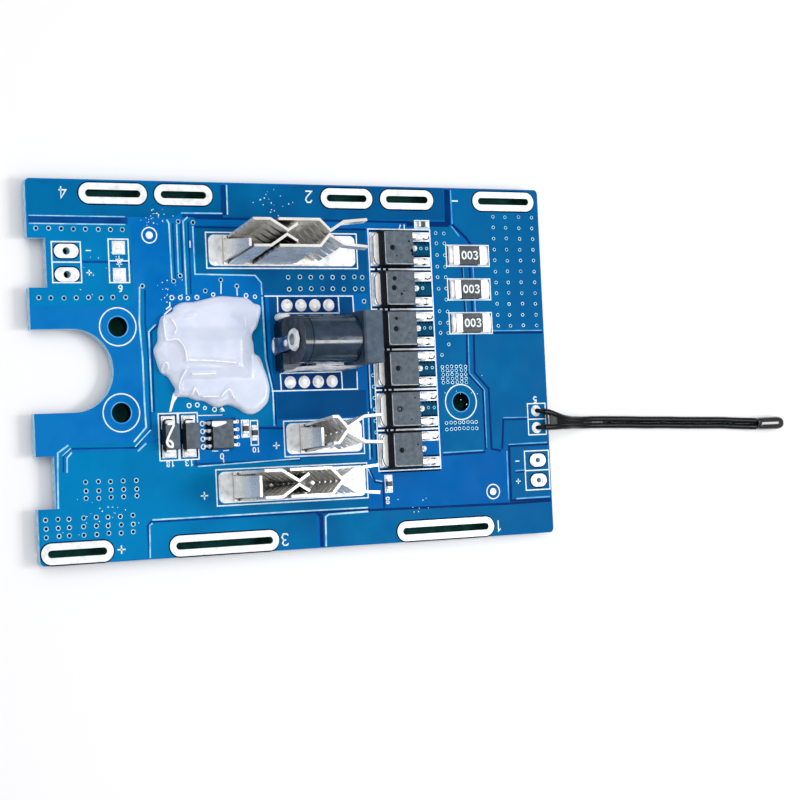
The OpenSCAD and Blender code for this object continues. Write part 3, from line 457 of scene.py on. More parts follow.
def smooth_path(points, steps=5):
    """Points of a smooth curve through the given ones."""
    points = [Vector(p) for p in points]
    ends = [2 * points[0] - points[1]] + points + [2 * points[-1] - points[-2]]
    path = []
    for a, b, c, d in zip(ends, ends[1:], ends[2:], ends[3:]):
        for i in range(steps):
            t = i / steps
            path.append(0.5 * (2 * b + (c - a) * t + (2 * a - 5 * b + 4 * c - d) * t * t
                               + (3 * b - a - 3 * c + d) * t ** 3))
    return path + [points[-1]]


def islands(node):
    """Lowest and highest corner, in millimetres, of each solid of a CAD node."""
    piece = frame["nodes"][node]
    keys = [tuple(round(c / MM, 2) for c in piece.matrix_world @ v.co)
            for v in piece.data.vertices]
    solid_of = {key: {key} for key in keys}
    for polygon in piece.data.polygons:
        solid = set().union(*(solid_of[keys[i]] for i in polygon.vertices))
        solid_of.update(dict.fromkeys(solid, solid))
    solids = {id(solid): solid for solid in solid_of.values()}.values()
    return [tuple(Vector(map(pick, zip(*solid))) for pick in (min, max)) for solid in solids]


SLOTS = [island for island in islands("slot_plating") if island[1].z > TOP]
# Middle and radius of each screw hole
SCREWS = [(mount["pos_m"][0] / MM, mount["pos_m"][1] / MM, mount["dims"]["r_mm"])
          for mount in frame["record"]["mounts"] if "screw" in mount["name"]]
OPENINGS = ([stadium(low, high, 0.3) for low, high in SLOTS]
            + [circle(x, y, r + 0.1, 24) for x, y, r in SCREWS])
# An opening's middle, by which a plate knows that it holds the opening
MIDDLES = [[sum(p[i] for p in outline) / len(outline) for i in (0, 1)] for outline in OPENINGS]
FETS = [box_of(f"mosfet_{i}_body") for i in range(1, 7)]
DIVIDER = 0.25  # from a transistor's front edge to the printed line in front of it
SHUNTS = [box_of(f"shunt_{i}_caps") for i in range(1, 4)]
DIODES = [box_of(f"diode_{i}_body") for i in (1, 2)]


# ---- meshes


def add_piece(name, data):
    """New piece of the root body."""
    piece = show(name, data)
    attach(piece, "root")
    return piece


def make_piece(name, points, faces, material, smooth=False):
    mesh = bpy.data.meshes.new(name)
    mesh.from_pydata([Vector(p) * MM for p in points], [], faces)
    form = bmesh.new()
    form.from_mesh(mesh)
    bmesh.ops.recalc_face_normals(form, faces=form.faces)
    form.to_mesh(mesh)
    form.free()
    mesh.materials.append(material)
    if smooth:
        mesh.polygons.foreach_set("use_smooth", [True] * len(mesh.polygons))
    return add_piece(name, mesh)


class Relief:
    """Collects flat closed solids and makes one piece of them."""

    def __init__(self, name, material, slot="laminate", facing_up=True):
        self.name, self.material, self.slot = name, material, slot
        self.points, self.faces = [], []
        self.up = facing_up

    def levels(self, height, base=None):
        """Lower and upper level of a solid that stands out of the board's face, or of base."""
        if self.up:
            start = TOP if base is None else base
            return start - SUNK, start + height
        return UNDER - height, UNDER + SUNK

    def slab(self, outline, height, base=None):
        low, high = self.levels(height, base)
        n, k = len(outline), len(self.points)
        self.points += [(x, y, low) for x, y in outline] + [(x, y, high) for x, y in outline]
        self.faces += [list(range(k + n, k + 2 * n)), list(range(k + n - 1, k - 1, -1))]
        self.faces += band(k, k + n, n)

    def plate(self, outline, height):
        """Slab that leaves the board's openings free."""
        low, high = self.levels(height)
        loops = [outline] + [opening for opening, middle in zip(OPENINGS, MIDDLES)
                             if within(middle, outline)]
        rings = [[Vector((x, y, 0)) for x, y in loop] for loop in loops]
        flat = [p for ring in rings for p in ring]
        k, n = len(self.points), len(flat)
        self.points += [(p.x, p.y, low) for p in flat] + [(p.x, p.y, high) for p in flat]
        for a, b, c in tessellate_polygon(rings):
            if (flat[b] - flat[a]).cross(flat[c] - flat[a]).z < 0:
                a, c = c, a
            self.faces += [[k + n + a, k + n + b, k + n + c], [k + c, k + b, k + a]]
        for loop in loops:
            self.faces += band(k, k + n, len(loop))
            k += len(loop)

    def disc(self, x, y, r, height, base=None, n=20):
        self.slab(circle(x, y, r, n), height, base)

    def line(self, path, width, height, base=None):
        """Open strip along a path."""
        left, right = edges_of(path, width)
        self.slab(right + left[::-1], height, base)

    def loop(self, path, width, height, base=None):
        """Closed strip along a path that runs to the left round its inside."""
        low, high = self.levels(height, base)
        inner, outer = edges_of(path, width, closed=True)
        n, k = len(path), len(self.points)
        rings = [(outer, low), (outer, high), (inner, high), (inner, low)]
        self.points += [(p.x, p.y, level) for edge, level in rings for p in edge]
        for i in range(4):
            self.faces += band(k + i * n, k + (i + 1) % 4 * n, n)

    def ring(self, x, y, r, width, height, base=None, n=20):
        self.loop(circle(x, y, r, n), width, height, base)

    def mound(self, x, y, length, width, height, base, power=3.0):
        """Drop of solder with a squarish outline, standing on base."""
        rows, n, k = 5, 20, len(self.points)
        for row in range(rows):
            a = row / rows * math.pi / 2
            scale, z = math.cos(a) ** 0.7, base + height * math.sin(a)
            for c, s in circle(0, 0, 1, n):
                reach = (abs(c) ** power + abs(s) ** power) ** (-1 / power)
                self.points.append((x + c * reach * scale * length / 2,
                                    y + s * reach * scale * width / 2, z))
        self.points.append((x, y, base + height))
        for row in range(rows - 1):
            self.faces += band(k + row * n, k + (row + 1) * n, n)
        top = k + (rows - 1) * n
        self.faces += [[top + i, top + (i + 1) % n, k + rows * n] for i in range(n)]
        self.faces.append([k + i for i in reversed(range(n))])

    def make(self, smooth=False):
        return make_piece(self.name, self.points, self.faces, self.material, smooth)


def wire(name, paths, diameter, material):
    """Round wires along paths, as one curve with closed ends."""
    curve = bpy.data.curves.new(name, "CURVE")
    curve.dimensions = "3D"
    curve.bevel_depth, curve.bevel_resolution = diameter / 2 * MM, 5
    curve.use_fill_caps = True
    for path in paths:
        spline = curve.splines.new("POLY")
        spline.points.add(len(path) - 1)
        for point, p in zip(spline.points, path):
            point.co = (*(Vector(p) * MM), 1)
    curve.materials.append(material)
    return add_piece(name, curve)


def turned(name, at, profile, material, n=32, power=2.0, ring=False, smooth=True):
    """Piece turned about a line along X; profile holds (distance along, radius)."""
    points, faces = [], []
    for along, r in profile:
        for c, s in circle(0, 0, 1, n):
            reach = r * (abs(c) ** power + abs(s) ** power) ** (-1 / power)
            points.append((at[0] + along, at[1] + c * reach, at[2] + s * reach))
    count = len(profile)
    for k in range(count if ring else count - 1):
        faces += band(k * n, (k + 1) % count * n, n)
    if not ring:
        faces += [list(range(n)), [(count - 1) * n + i for i in reversed(range(n))]]
    return make_piece(name, points, faces, material, smooth)


def sheet_of(name, rows, thickness, material):
    """Thin closed sheet through rows of two or more points."""
    n, m = len(rows), len(rows[0])
    points = [p for row in rows for p in row]
    points += [tuple(a + b for a, b in zip(p, thickness)) for p in points]
    k = n * m
    faces = []
    for i in range(n - 1):
        for j in range(m - 1):
            a, b, c, d = i * m + j, i * m + j + 1, (i + 1) * m + j + 1, (i + 1) * m + j
            faces += [[a, b, c, d], [k + d, k + c, k + b, k + a]]
    rim = [*range(m), *(i * m + m - 1 for i in range(1, n)),
           *((n - 1) * m + j for j in range(m - 2, -1, -1)), *(i * m for i in range(n - 2, 0, -1))]
    faces += [[a, b, k + b, k + a] for a, b in zip(rim, rim[1:] + rim[:1])]
    return make_piece(name, points, faces, material)


# ---- thermistor leads

LEAD_D = 1.1
LEAD_REST = LEAD_D / 2 + 0.05
LEAD_EXIT = TOP + 1.3
BARE_END_D = 0.75
# The ways of the two leads: distance past the right edge, share of the drop that is left, and
# each lead's place across
LEAD_WAYS = path_of("""
    -1.6,1,-9.2,-12 -0.5,1.01,-9.4,-12.05 1,0.96,-9.9,-12.05 2.5,0.83,-10.35,-12 4,0.65,-10.6,-12
    5.5,0.44,-10.75,-11.95 7,0.25,-10.8,-11.95 8.5,0.1,-10.85,-12 10.5,0.02,-10.85,-12
    13,0,-10.9,-12.05 16,0,-11,-12.15 19,0,-11.1,-12.25 22,0,-11.25,-12.4 25,0,-11.35,-12.5
    28,0,-11.45,-12.6 31,0,-11.6,-12.75 34,0,-11.7,-12.85 37,0,-11.8,-12.95 40,0,-11.9,-13.05
    43,0.03,-12.1,-13.25 45.5,0.11,-12.25,-13.4 47.4,0.18,-12.35,-13.5
""")
# Past the right edge, across from the lead, where each lead enters the board
LEAD_HOLES = [(-2.5, 0.2), (-2.5, -0.05)]
# The bead's end: quarter turns of its rounding
BEAD_TURNS = (0, 0.2, 0.4, 0.6, 0.75, 0.88, 0.96)


def add_thermistor():
    low, high = box_of("thermistor_bead")
    r, length = (high.z - low.z) / 2, high.x - low.x
    profile = [(0, r * 0.62), (length * 0.03, r * 0.8), (length * 0.12, r * 0.92)]
    profile += [(length - r * 1.5 * (1 - math.sin(a * math.pi / 2)),
                 r * math.cos(a * math.pi / 2) ** 0.8) for a in BEAD_TURNS]
    bead = turned("thermistor_drop", (low.x, (low.y + high.y) / 2, (low.z + high.z) / 2), profile,
                  BEAD, n=48, power=2.7)
    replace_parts(bead, "thermistor_bead")
    ways = [[Vector((RIGHT + x, across[lead], LEAD_REST + share * (LEAD_EXIT - LEAD_REST)))
             for x, share, *across in LEAD_WAYS] for lead in (0, 1)]
    web = sheet_of("thermistor_web", [[a + (b - a) * t for t in (0.1, 0.5, 0.9)]
                                      for a, b in list(zip(*ways))[1:10]],
                   (0, 0, 0.3), RUBBER)
    for number, (way, (hole_x, hole_y)) in enumerate(zip(ways, LEAD_HOLES), 1):
        path = smooth_path(way)
        piece = wire(f"thermistor_wire_{number}", [path], LEAD_D, RUBBER)
        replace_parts(piece, f"thermistor_lead_{number}")
        length = sum((b - a).length for a, b in zip(path, path[1:]))
        hole = Vector((RIGHT + hole_x, way[0].y + hole_y, LAND))
        bare = smooth_path([hole + Vector((-0.2, 0, -0.2)), hole + Vector((0, 0, 0.5)),
                            path[0] + Vector((-0.35, 0, -0.15)), path[0] + Vector((0.2, 0, 0))])
        wire(f"lead_end_{number}", [bare], BARE_END_D, RUBBER)


# ---- copper under the mask

POURS = paths_of("""
    -47.3,23.75 -30.1, ,17.85 -44.2, ,21.6 -47.3,; -44.2,17.3 -30.1, ,10.45 -47.3, ,13.2 -44.2,;
    -44.2,-22.2 ,-16.5 -42.6, ,-13.9 -41.7,-13 -30.5,-13.2 -29,-12 -20.4, ,-16.1 -15,-15.9
      10.7,-15.8 ,-24.6 -28.8, -29.6,-25.5 ,-30.8 -47.3, ,-22.2;
    -27.4,7 -26.3,7.4 -23.5,9 -8,11 -6.9,2 -6.2,-4.2 ,-9.9 -8.9, -14,-8 -20.2,-7.6 ,-11.6 -27.4,;
    30.3,30.8 47.2, ,5.5 34, ,20.9 30.3,24.8;
    33.1,4.9 47.2, ,-10.1 38, 37.3,-15.4 35.7, 35.9,-4.7 33.1,-2;
    25.6,24.3 29.4, 31.1,22.5 ,-1.9 34,-5 ,-15.7 25.6,-15.9; 39.4,-15.3 47.2, ,-24.7 39.4,;
    38.5,-10.5 47.2, ,-14.9 38.4,; -28.6,-25.2 0.6, ,-30.8 -29.1, ,-25.7;
    3.2,-25.5 10.6,-25.3 38.2,-25.7 47.2, ,-30.8 2.6, 2.8,-25.8
""")
# Copper whose mask looks deeper; and mask darker still beside the jack, as painted shade of the
# jack
DEEP_POURS = paths_of("""
    -47.3,30.8 -14.1, ,26 -21.3, -22.4,24.95 -47.3,; -12.9,30.8 28.2, ,25.3 -12.9,24.9;
    -18.9,23.2 12.5, ,12.3 -7.1, ,14.2 -8.3,15.5 -18.9,
""")
JACK_SHADE_POURS = paths_of("""
    -5.6,-4.4 11.2, ,-8.9 -5.6,; -6.2,11.8 9.5,11.7 ,-4.1 -6,
""")
# Copper lines, dark gaps between copper areas, and painted highlights along edges that face the
# light
TRACES = lines_of("""
    0.7 -28.5,13.2 -28.8,7.6 -28.5,1.8 -28.55,-9.7 -30.8,-12.3 -42,-12.1 -43.4,-13.4 -43.6,-18.2
      -43.7,-22.2;
    0.5 -23.6,24.6 -23.1,23.9 ,14.7; 0.5 -21.8,24 ,15.6; 0.6 -19.6,25.2 -20.5,24.4 ,12.2;
    0.8 31.9,16.9 32,10.9 32.2,4.8 32.1,-2 34.95,-4.95 34.85,-15.2; 0.6 12.2,11.4 12.3,-16.5;
    0.6 11.1,-8.3 ,-15.7
""")
GAPS = lines_of("""
    1 -47.2,24.35 -30.6,; 0.35 -38.4,17.57 -30.2,17.55;
    0.3 -28.1,13 -28.3,7.6 -28,1.8 -28.1,-9.6 -30.6,-12.75 -41.8,-12.5 -43,-13.6 -43.1,-16.2;
    0.25 -22.8,24 -22.75,14.9; 0.25 -21.4,24 ,15.9; 0.25 -20.1,24.2 ,12.3;
    1.1 -13.5,30.6 -13.6,25.5; 0.5 -21.1,25.3 -13.8,; 0.4 -18.9,24.95 20.6,24.8;
    0.35 -18.9,23.45 12.6,23.4; 0.35 -29.2,-30.8 -29.3,-25.6 -28.7,-24.9 10.7,;
    0.7 1.6,-30.8 1.7,-25.6 0.9,-25 10.8,-25.1; 0.4 10.7,-25.1 38.2,-25.4 47.3,-25.3;
    0.4 -20.4,-12.1 -20.6,-15.9 -1.7,; 0.35 -13.9,-8.4 -8.9,-10.3 -1.6,-10.6;
    0.35 -7.05,12.1 -6.9,1.3 -5.9,-4.2 ,-9.8; 0.35 -26.1,7.2 -27.3,6.2 -27.4,-7;
    0.45 29.7,24.5 32.3,22.2 33.2,21; 0.35 31.25,16.9 31.6,4.8 31.3,-1.9 34.3,-5 ,-15.6;
    0.35 32.8,16.9 33,4.8 32.8,-1.9 35.5,-4.8 ,-15.5 37.4,-15.9; 0.4 34,5.2 47.2,5.15;
    0.35 47.2,-10.4 38.2,-10.35 37.7,-15.6; 0.4 47.2,-15.1 39.1,-15.15 39,-24.9 47.2,-25;
    0.25 40.2,-19.9 42.5,-19.8; 0.35 25.6,-16.2 34.2,-16; 0.3 11.8,9.4 ,-16;
    0.3 12.75,3.5 12.7,-16.6; 0.35 11.3,-18.3 12.2,-20.3 13.7,-20.6 ,-24.8; 2.6 -4.2,10.3 6.4,;
    2.7 -4.2,-2.65 6.4,; 1.1 28.95,30.7 28.8,24.4; 0.9 20.6,24.5 29,
""")
HIGHLIGHT_LINES = lines_of("""
    0.28 -29,13.5 -29.3,7.6 -29,1.8 ,-5.5 -28.9,-9.5 -31.1,-11.8;
    0.28 -42.1,-11.9 -43.9,-13.1 -44.1,-18.2 -44.2,-22; 0.2 -28.15,-9.95 -30.9,-12.6;
    0.16 -41.7,-12.4 -43.2,-13.6; 0.24 -29,-12.1 -30.5,-13.35;
    0.24 -41.6,-13.1 -42.4,-13.95 -42.5,-16.3; 0.24 -23.8,24.6 -23.45,24 -23.35,14.8;
    0.22 -22.1,23.9 -22.15,15.8; 0.24 -20.1,25.1 -20.95,24.4 -20.9,12.2;
    0.22 -19.3,23.6 -19.25,15.6 -8.5,15.4 -7.45,14.2 -7.4,12.1; 0.24 -12.95,30.6 -13,25.6;
    0.2 -21.2,25.75 -13.9,25.8; 0.3 -7.4,11.8 -7.25,1.4 -6.15,-4.2 -6.2,-10;
    0.24 -26.5,7.3 -27.75,6.1 ,-7; 0.24 -29.15,-30.8 -29,-25.5 -28.5,-25.15;
    0.24 -28.5,-24.62 -2.2,-24.6 10.6,-24.65; 0.3 2.35,-30.8 2.5,-25.8 3.1,-25.42 10.6,-25.3;
    0.2 31,22.4 29.5,24.2; 0.24 29.65,30.6 29.7,24.6;
    0.22 31.4,16.9 31.85,4.8 31.75,-1.9 34.6,-5 34.5,-15.3; 0.26 33.5,16.9 33.55,9;
    0.2 36.5,5.55 47.1,5.5; 0.2 43.4,-10.15 38.2,-10.05; 0.24 39,-14.9 43.2,-14.8 47,;
    0.24 40.1,-24.6 47.1,-24.55; 0.2 40.2,-19.6 42.4,-19.55; 0.22 38.6,-16 38.5,-24.6;
    0.22 25.7,-15.8 33.8,-15.7; 0.24 12,9 12.05,-7.6; 0.24 11.5,-8.2 11.4,-16.4;
    0.22 10.9,-18 12,-20 13.5,-20.3; 0.2 -20.2,-16.25 -1.8,-15.7; 0.18 -47.1,23.7 -31,;
    0.16 -47.1,24.98 -31,
""")
SOFT_FROM = 14  # painted highlights are fainter, and vias thinner, to the right of this
# Painted shade round the diodes and the charger chip's leads
SHADE_PATCHES = paths_of("""
    -26.5,-7.56 -26.61,-14.45 -23.83,-14.52 -23.65,-7.63;
    -23.05,-7.65 -23.03,-14.47 -20.04,-14.51 -20.35,-7.69; -18.6,-8.75 ,-13.6 -17.4, ,-8.75;
    -14.3,-8.6 ,-13.3 -13.4, ,-8.6
""")
UNDER_POURS = paths_of("""
    -47.2,30.7 -14, ,12 -30, ,20 -44, ,21.8 -47.2,; -12.5,30.7 29, ,20.4 11.5, ,22.5 -12.5,;
    30.5,30.7 47.2, ,-9.5 36, ,12 30.5,; -47.2,-30.7 -30, ,-23.5 0, ,-17 -40, -43.8,-22.4 -47.2,;
    -28.5,-30.7 1, ,-25 -28.5,; 3,-30.7 47.2, ,-25 3,
""")


def grid(xs, ys):
    return [(x, y) for x in xs for y in ys]


def steps(start, step, count):
    return [start + i * step for i in range(count)]


VIAS = (
    grid(steps(-46, 2.07, 8), [22.9, 11.75])
    + grid([-39.5, -37.4, -35.3, -33.2, -31], [-18, -19.4, -20.6])
    + grid([-46.3, -44.3, -42.5, -40.1, -38, -36, -33.9, -31.8], [-23.7, -25.1, -26.4])
    + grid([-2.4, -0.3, 1.8, 3.8, 5.8, 7.9, 10, 11.5], [15.1, 13.1])
    + [(11.6, 10.9), (-28.5, 13.6), (-23.1, 14.4), (-21.9, 15.3), (-21.8, 24.3), (-19.2, 24.2),
       (-17.6, 12.8), (-14.7, 14.6), (-11.9, 13.6)]
)
SMALL_VIAS = (
    grid([12.75], steps(-1.9, -1.98, 6))
    + grid([26.3, 27.9], [22.9, 21.1, 19, 17, 15.1, 13.1, 9.1, 7.1, 5.3])
    + [(27.8, 11.2), (27.9, 3.3), (26.4, 1.4)]
    + grid([38.05, 40.55, 43.3, 46.05], steps(26, -1.96, 11))
    + grid(steps(26.4, 0.92, 6), steps(-0.7, -0.7, 5))
    + grid(steps(26.7, 0.85, 8), [-10.6, -11.7])
)
VIA_R, SMALL_VIA_R = 0.4, 0.32
FRAME_W = 0.22  # width of the painted shade line round a slot or a shunt


def add_copper():
    reliefs = [Relief(*row) for row in (
        ("screw_hole_shades", BLACK_SHADE_AND_MARKS), ("copper", COPPER), ("deep_copper", DEEP),
        ("copper_in_jack_shade", JACK_SHADE_MASK), ("gaps", SHADE), ("painted_shade_edges", OUTLINE), ("rims", HIGHLIGHT_AND_VIA_RING),
        ("soft_highlights", SOFT_HIGHLIGHT), ("vias", VIA, "tinned_copper"), ("via_hole_shades", HOLE_SHADE))]
    screw_shade, copper, deep, dark, gaps, edges, rims, soft_highlights, vias, hole_shades = reliefs
    for relief, pours in ((copper, POURS), (deep, DEEP_POURS), (dark, JACK_SHADE_POURS)):
        for outline in pours:
            relief.plate(outline, POUR_T)
    for width, path in TRACES:
        copper.line(path, width, TRACE_T)
    # Each gap has its own height, because faces that coincide within a piece render black
    for i, (width, path) in enumerate(GAPS):
        gaps.line(path, width, GAP_T + GAP_STEP * i)
    # Painted highlights along the copper edges that face the light, fainter to the right
    for width, path in HIGHLIGHT_LINES:
        (rims if path[0][0] < SOFT_FROM else soft_highlights).line(path, width, LINE_T)
    # Painted shade round each slot and each shunt
    for low, high in SLOTS:
        edges.loop(stadium(low, high, -0.12), FRAME_W, FRAME_T)
    for low, high in SHUNTS:
        x0, x1, y0, y1 = low.x - 1, high.x + 1, low.y - 0.2, high.y + 0.2
        edges.loop([(x0, y0), (x1, y0), (x1, y1), (x0, y1)], FRAME_W, FRAME_T)
    for x, y, r in SCREWS:
        # Painted shade: a near-black sleeve inside each screw hole
        screw_shade.ring(x, y, r - 0.02, 0.05, TOP - UNDER, base=UNDER, n=64)
        # Fainter painted highlight round each screw hole
        soft_highlights.ring(x, y, r + 0.14, 0.16, LINE_T, n=40)
    # Painted shade round the diodes and the charger chip's leads
    for outline in SHADE_PATCHES:
        edges.slab(outline, SHADE_PATCH_T)
    dice = random.Random(5)
    for x, y in VIAS + SMALL_VIAS:
        r = VIA_R if (x, y) in VIAS else SMALL_VIA_R
        x, y = x + dice.uniform(-0.06, 0.06), y + dice.uniform(-0.06, 0.06)
        vias.ring(x, y, r - 0.06, 0.12 if x < SOFT_FROM else 0.1, LINE_T + 0.012, n=14)
        # Painted shade in each via's hole
        hole_shades.disc(x + 0.03, y, r - 0.13, LINE_T + 0.004, n=12)
    for relief in reliefs:
        relief.make()


def add_underside():
    """Copper areas and vias of the face that the photograph doesn't show."""
    copper = Relief("copper_under", COPPER, facing_up=False)
    rims = Relief("vias_under", VIA, "tinned_copper", facing_up=False)
    for outline in UNDER_POURS:
        copper.plate(outline, POUR_T)
    for x, y in VIAS + SMALL_VIAS:
        rims.ring(x, y, 0.28, 0.16, LINE_T, n=10)
    copper.make()
    rims.make()


# ---- print

# Single strokes of the numbers and signs, which are DIGIT_H high
DIGIT_H, DIGIT_STEP, DIGIT_GAP = 1.4, 1.25, 0.35
STROKE_W, STROKE_GAIN = 0.13, 0.05  # width of a stroke, and its share of the height
STROKES = {character: paths_of(text) for character, text in {
    "1": "0.15,1.1 0.45,1.4 ,0",
    "2": "0,1.1 0.2,1.4 0.65, 0.85,1.1 0.75,0.8 0,0 0.85,",
    "3": "0,1.2 0.2,1.4 0.6, 0.8,1.15 0.6,0.75 0.3,; 0.6,0.75 0.85,0.4 0.65,0 0.2, 0,0.2",
    "4": "0.62,0 ,1.4 0,0.42 0.9,",
    "5": "0.8,1.4 0.1, 0.05,0.8 0.5,0.88 0.85,0.5 0.6,0 0.15, 0,0.2",
    "6": "0.7,1.35 0.3,1.2 0.05,0.6 0.1,0.15 0.4,0 0.75,0.15 0.8,0.5 0.5,0.75 0.1,0.55",
    "7": "0,1.4 0.85, 0.3,0",
    "8": "0.42,0.75 0.1,1 0.15,1.35 0.42,1.4 0.7,1.35 0.75,1 0.42,0.75 0.05,0.4 0.1,0.08 "
         "0.42,0 0.75,0.08 0.8,0.4 0.42,0.75",
    "0": "0.42,0 0.1,0.2 0,0.7 0.1,1.2 0.42,1.4 0.75,1.2 0.85,0.7 0.75,0.2 0.42,0",
    "+": "0,0.7 1,; 0.5,0.2 ,1.2",
    "-": "0.05,0.7 0.95,",
}.items()}
# Each printed number or sign: characters, middle, height, turn in degrees
LABELS = [(text, *map(float, numbers)) for text, *numbers in (label.split() for label in """
    4 -41.4 28.8 1.9 180; 2 2 28.9 1.9 180; 3 -5.2 -29.2 1.9 180; 1 36.1 -29.2 1.9 180;
    + -33.9 -29.1 1.9 180; - 30.5 28.7 1.9 180; - -19.9 20.5 1.8 90; + -19.3 -21.2 1.8 90;
    + -6 -13.4 1.7 90; - -37.4 19.4 1.3 180; + -37.4 15.8 1.3 180; - 40.7 -17.9 1.3 180;
    + 40.7 -21.5 1.3 180; 6 -32.3 13.2 1.1 180; 18 -25 -15.6 0.9 180; 13 -21.7 -15.6 0.9 180;
    8 14.4 -23.6 1.1 180; 17 19.7 23.9 0.9 180; 5 44.9 -7 1 180; 0 -15.9 -14.75 0.9 180;
    10 -9.7 -13.9 0.8 180
""".split(";"))]
# Small round marks beside the coating: middle, radius
COAT_PADS = path_of("""
    -23.5,11.7,0.36 -22,11.7,0.34 -20.7,11.6,0.3 -19.1,11.75,0.34 -16.2,12.2,0.3 -10.3,12,0.34
    -8.7,11.8,0.3 -21.3,-6.15,0.36 -19.85,-6.1,0.34 -18.55,-6.65,0.26 -16.85,-6.95,0.34
""")
# Printed lines that go with no single part
PRINTED = lines_of("""
    0.2 -7,11.9 9.5,11.85 9.55,9.1; 0.2 -4.6,11.8 -4.65,9.15; 0.2 6.75,11.8 6.8,9.15;
    0.16 -4.5,8.95 6.9,; 0.2 -6.4,-4.15 9.6,-4.2 9.65,-1.2; 0.2 -4.7,-1.25 -4.65,-4.1;
    0.2 6.7,-1.1 6.75,-4.1; 0.16 -4.6,-1.2 6.7,-1.15; 0.14 -32.9,18 -31.7, -32.3,17.2 -32.9,18;
    0.14 -32.8,17.2 -31.8,; 0.14 -32.3,18.6 ,16.7;
    0.3 -15.85,-7.15 -15.25, -15.5,-6.75 -15.85,-7.15; 0.18 -14.7,14.2 -14.8,12.3;
    0.18 -11.9,13.2 ,12; 0.2 -23.9,11 ,10.3 -24.6,9.8; 0.2 -17.6,-13.8 -16.5,-13.85;
    0.2 -15.65,-13.85 -14.6,-13.8; 0.16 -15.65,-15.1 -15.6,-15.8; 0.14 -19.9,-7.85 -15.5,-7.9
""")
FIDUCIALS = [(-26.95, 22), (35.4, -23.1)]
# Middle of each charger chip lead's ring, and how far the right-hand ones lie up from it
LEAD_RINGS_Y, LEAD_SHIFT = (-9.22, -10.5, -11.77, -13.05), 0.15


def mark(relief, text, x, y, height, turn, width, level, base=None):
    """Characters of single strokes, with their middle at x, y."""
    size = height / DIGIT_H
    wide = len(text) * DIGIT_STEP - DIGIT_GAP
    a = math.radians(turn)
    for i, character in enumerate(text):
        for stroke in STROKES[character]:
            path = []
            for u, v in stroke:
                u, v = (u + DIGIT_STEP * i - wide / 2) * size, (v - DIGIT_H / 2) * size
                path.append((x + u * math.cos(a) - v * math.sin(a),
                             y + u * math.sin(a) + v * math.cos(a)))
            if path[0] == path[-1]:
                relief.loop(path[:-1], width, level, base)
            else:
                relief.line(path, width, level, base)


def add_print():
    ink = Relief("printed_marks", INK, "legend_ink")
    for text, x, y, height, turn in LABELS:
        mark(ink, text, x, y, height, turn, STROKE_W + STROKE_GAIN * height, INK_T)
    for width, path in PRINTED:
        ink.line(path, width, INK_T)
    for x, y in FIDUCIALS:
        ink.ring(x, y, 1.28, 0.2, INK_T, n=28)
    for low, high in FETS[:-1]:
        ink.line([(low.x - 1.6, low.y - DIVIDER), (high.x + 4.4, low.y - DIVIDER)], 0.3, INK_T)
    for y in LEAD_RINGS_Y:
        ink.ring(-19.12, y, 0.36, 0.2, INK_T, n=16)
        ink.ring(-12.9, y + LEAD_SHIFT, 0.26, 0.13, INK_T, n=14)
    for x, y, r in COAT_PADS:
        ink.ring(x, y, r, 0.16, INK_T, n=14)
    for low, high in SHUNTS:
        mark(ink, "003", *centre(low, high), 1.3, 0, 0.26, PATCH_W, base=high.z + 0.1)
    ink.make()
    dots = Relief("fiducials", TIN, "tinned_copper")
    for x, y in FIDUCIALS:
        dots.disc(x, y, 0.62, 0.04)
    dots.make()


# ---- solder

LEAD_DROPS_Y, LEAD_T = (-9.23, -10.51, -11.79, -13.07), 0.22  # on the charger chip's leads
BARE_PADS = [(-32.35, 19.9), (-32.35, 15.45)]
TIP = (3.3, 2.2)  # from a transistor's right edge and middle to its leads' tips


def add_solder():
    drops = Relief("solder_drops", SOLDER, "solder")
    dice = random.Random(11)
    for low, high in FETS:
        y = (low.y + high.y) / 2
        for side in (-TIP[1], TIP[1]):
            drops.mound(high.x + 1.75, y + side, 1.5, 1.5, 0.75, LAND, power=4)
            drops.mound(high.x + 3.35, y + side, 1.3, 1.2, 0.42, LAND, power=2.6)
        drops.mound(high.x + 0.6, y + 0.05, 1, 1.1, 0.9, LAND + 0.8, power=2.2)
    for low, high in SHUNTS:
        for x in (low.x - 0.3, high.x + 0.3):
            drops.mound(x, (low.y + high.y) / 2, 0.95, 3.3, 0.5, LAND, power=5)
    for low, high in DIODES:
        for y in (low.y - 0.75, high.y + 0.75):
            drops.mound((low.x + high.x) / 2, y, 2.1, 1.1, 0.35, LAND, power=4)
    for low, high in islands("chip_resistor_caps"):
        drops.mound(*centre(low, high), high.x - low.x + 0.25, high.y - low.y + 0.15,
                    high.z - LAND + 0.05, LAND, power=4)
    for x, y in BARE_PADS:
        drops.mound(x, y, 2, 1.95, 0.16, LAND, power=6)
        for _ in range(4):
            drops.mound(x + dice.uniform(-0.6, 0.6), y + dice.uniform(-0.6, 0.6), 0.7, 0.6,
                        0.26, LAND, power=2.4)
    for low, high in SLOTS:
        if high.x > 40 and high.y < 0:
            x, y = centre(low, high)
            drops.mound(x - 0.95, y, 0.9, 1.8, 0.16, LAND, power=3)
            drops.mound(x + 1, y, 0.8, 1.8, 0.14, LAND, power=3)
    for y in LEAD_DROPS_Y:
        drops.mound(-18.12, y, 0.62, 0.66, 0.2, LAND + LEAD_T, power=2)
        drops.mound(-13.85, y + LEAD_SHIFT, 0.5, 0.62, 0.2, LAND + LEAD_T, power=2)
    drops.make(smooth=True)


# ---- transistors' small marks

# Places across the row of each body's round mark, from the body's middle
MARK_SHIFTS = [0.03, 0.05, -0.05, 0.1, 0.05, -0.05]
